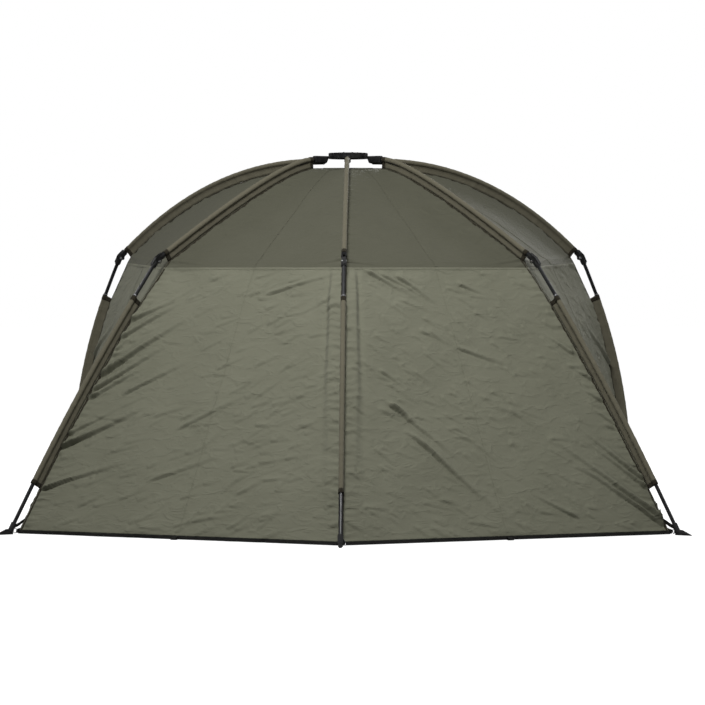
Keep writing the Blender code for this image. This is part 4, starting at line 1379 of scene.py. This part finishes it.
# The patch takes the darkened roof cloth, so it carries the roof's painted shade.
crown = sheet_from("crown_patch", np.array(rings), np.array(flats), SHADED_ROOF_CLOTH, None, closed=True)
bm = bmesh.new()
bm.from_mesh(crown.data)
bmesh.ops.remove_doubles(bm, verts=bm.verts, dist=1e-5)
bmesh.ops.recalc_face_normals(bm, faces=bm.faces)
if sum(face.normal.z for face in bm.faces) < 0:
    bmesh.ops.reverse_faces(bm, faces=bm.faces)
bm.to_mesh(crown.data)
bm.free()
thicken(crown, CROWN_CLOTH, 1)
carry(crown, "hub")

for half, piece in canopy_pieces.items():
    space, part, side = half
    place = SPACES[space][side]
    widths = half_width(space, part, np.linspace(0, 1, 51))
    length = panel_size(space, part)[1]
    extra = list(trims[half])
    if part == "wall" and side == 0:
        extra += corner_ties[place]
    if (space, part) == ("front", "wall"):
        extra += zip_parts[side]

# %% [markdown]
# ## Floor, backdrop and light
# A pale floor and a white backdrop keep the outline clean. The key light stands high on the
# camera's side, so the walls have soft shading over their folds. Two lights at the sides and one
# in front lift the parts that it doesn't reach. The roof's cloth is given a darker colour than the
# walls', and that colour paints the shade that makes the roof look darker.

# %% Floor and backdrop
FLOOR_GLOW = 0.97
SKY_LIGHT = 0.17
floor_mesh = bpy.data.meshes.new("floor")
floor_mesh.from_pydata([(-60, -60, 0), (60, -60, 0), (60, 60, 0), (-60, 60, 0)], [], [(0, 1, 2, 3)])
floor = new_object("floor", floor_mesh)
floor.location.z = -0.0005
floor_finish, floor_start, floor_shader = new_finish("pale_floor", 0.95)
floor_shader.inputs["Base Color"].default_value = (0.22, 0.22, 0.22, 1)
glow = floor_start.node("ShaderNodeEmission", {}, {"Color": (1, 1, 1, 1), "Strength": FLOOR_GLOW})
both = floor_start.node("ShaderNodeAddShader")
floor_tree = floor_finish.node_tree
floor_tree.links.new(floor_shader.outputs[0], both.socket.node.inputs[0])
floor_tree.links.new(glow.socket, both.socket.node.inputs[1])
as_seen = floor_start.node("ShaderNodeLightPath", output=0)
shown = floor_start.node("ShaderNodeMixShader", {}, {0: as_seen})
floor_tree.links.new(floor_shader.outputs[0], shown.socket.node.inputs[1])
floor_tree.links.new(both.socket, shown.socket.node.inputs[2])
floor_tree.links.new(shown.socket, floor_tree.nodes["Material Output"].inputs["Surface"])
floor_mesh.materials.append(floor_finish)

world = bpy.data.worlds.new("studio")
world.use_nodes = True
bpy.context.scene.world = world
sky = world.node_tree.nodes["Background"]
world_start = Signal(world.node_tree)
seen = world_start.node("ShaderNodeLightPath", output=0)
plug_in(seen * (1 - SKY_LIGHT) + SKY_LIGHT, sky, "Strength")
sky.inputs["Color"].default_value = (1, 1, 1, 1)


# %% Lights
def soft_light(name, at, towards, size, power, spread):
    """A soft rectangular light that is aimed at a point."""
    data = bpy.data.lights.new(name, "AREA")
    data.shape = "RECTANGLE"
    data.size, data.size_y = size
    data.energy = power
    data.spread = math.radians(spread)
    light = new_object(name, data)
    light.location = at
    light.rotation_euler = (Vector(towards) - Vector(at)).to_track_quat("-Z", "Y").to_euler()


soft_light("key", (-0.5, -4.4, 5.6), (0, -0.3, 1.35), (1.6, 1.0), 78, 76)
for side in (-1, 1):
    soft_light(f"side_{side}", (side * 6.0, 3.2, 4.2), (0, 0.4, 0.7), (1.6, 1.6), 85, 150)
soft_light("front_fill", (1.6, 7.6, 4.2), (0, 0.9, 0.8), (3, 2), 170, 150)
bpy.context.scene.view_settings.view_transform = "Standard"
print("two surfaces of the studio and four soft lights")
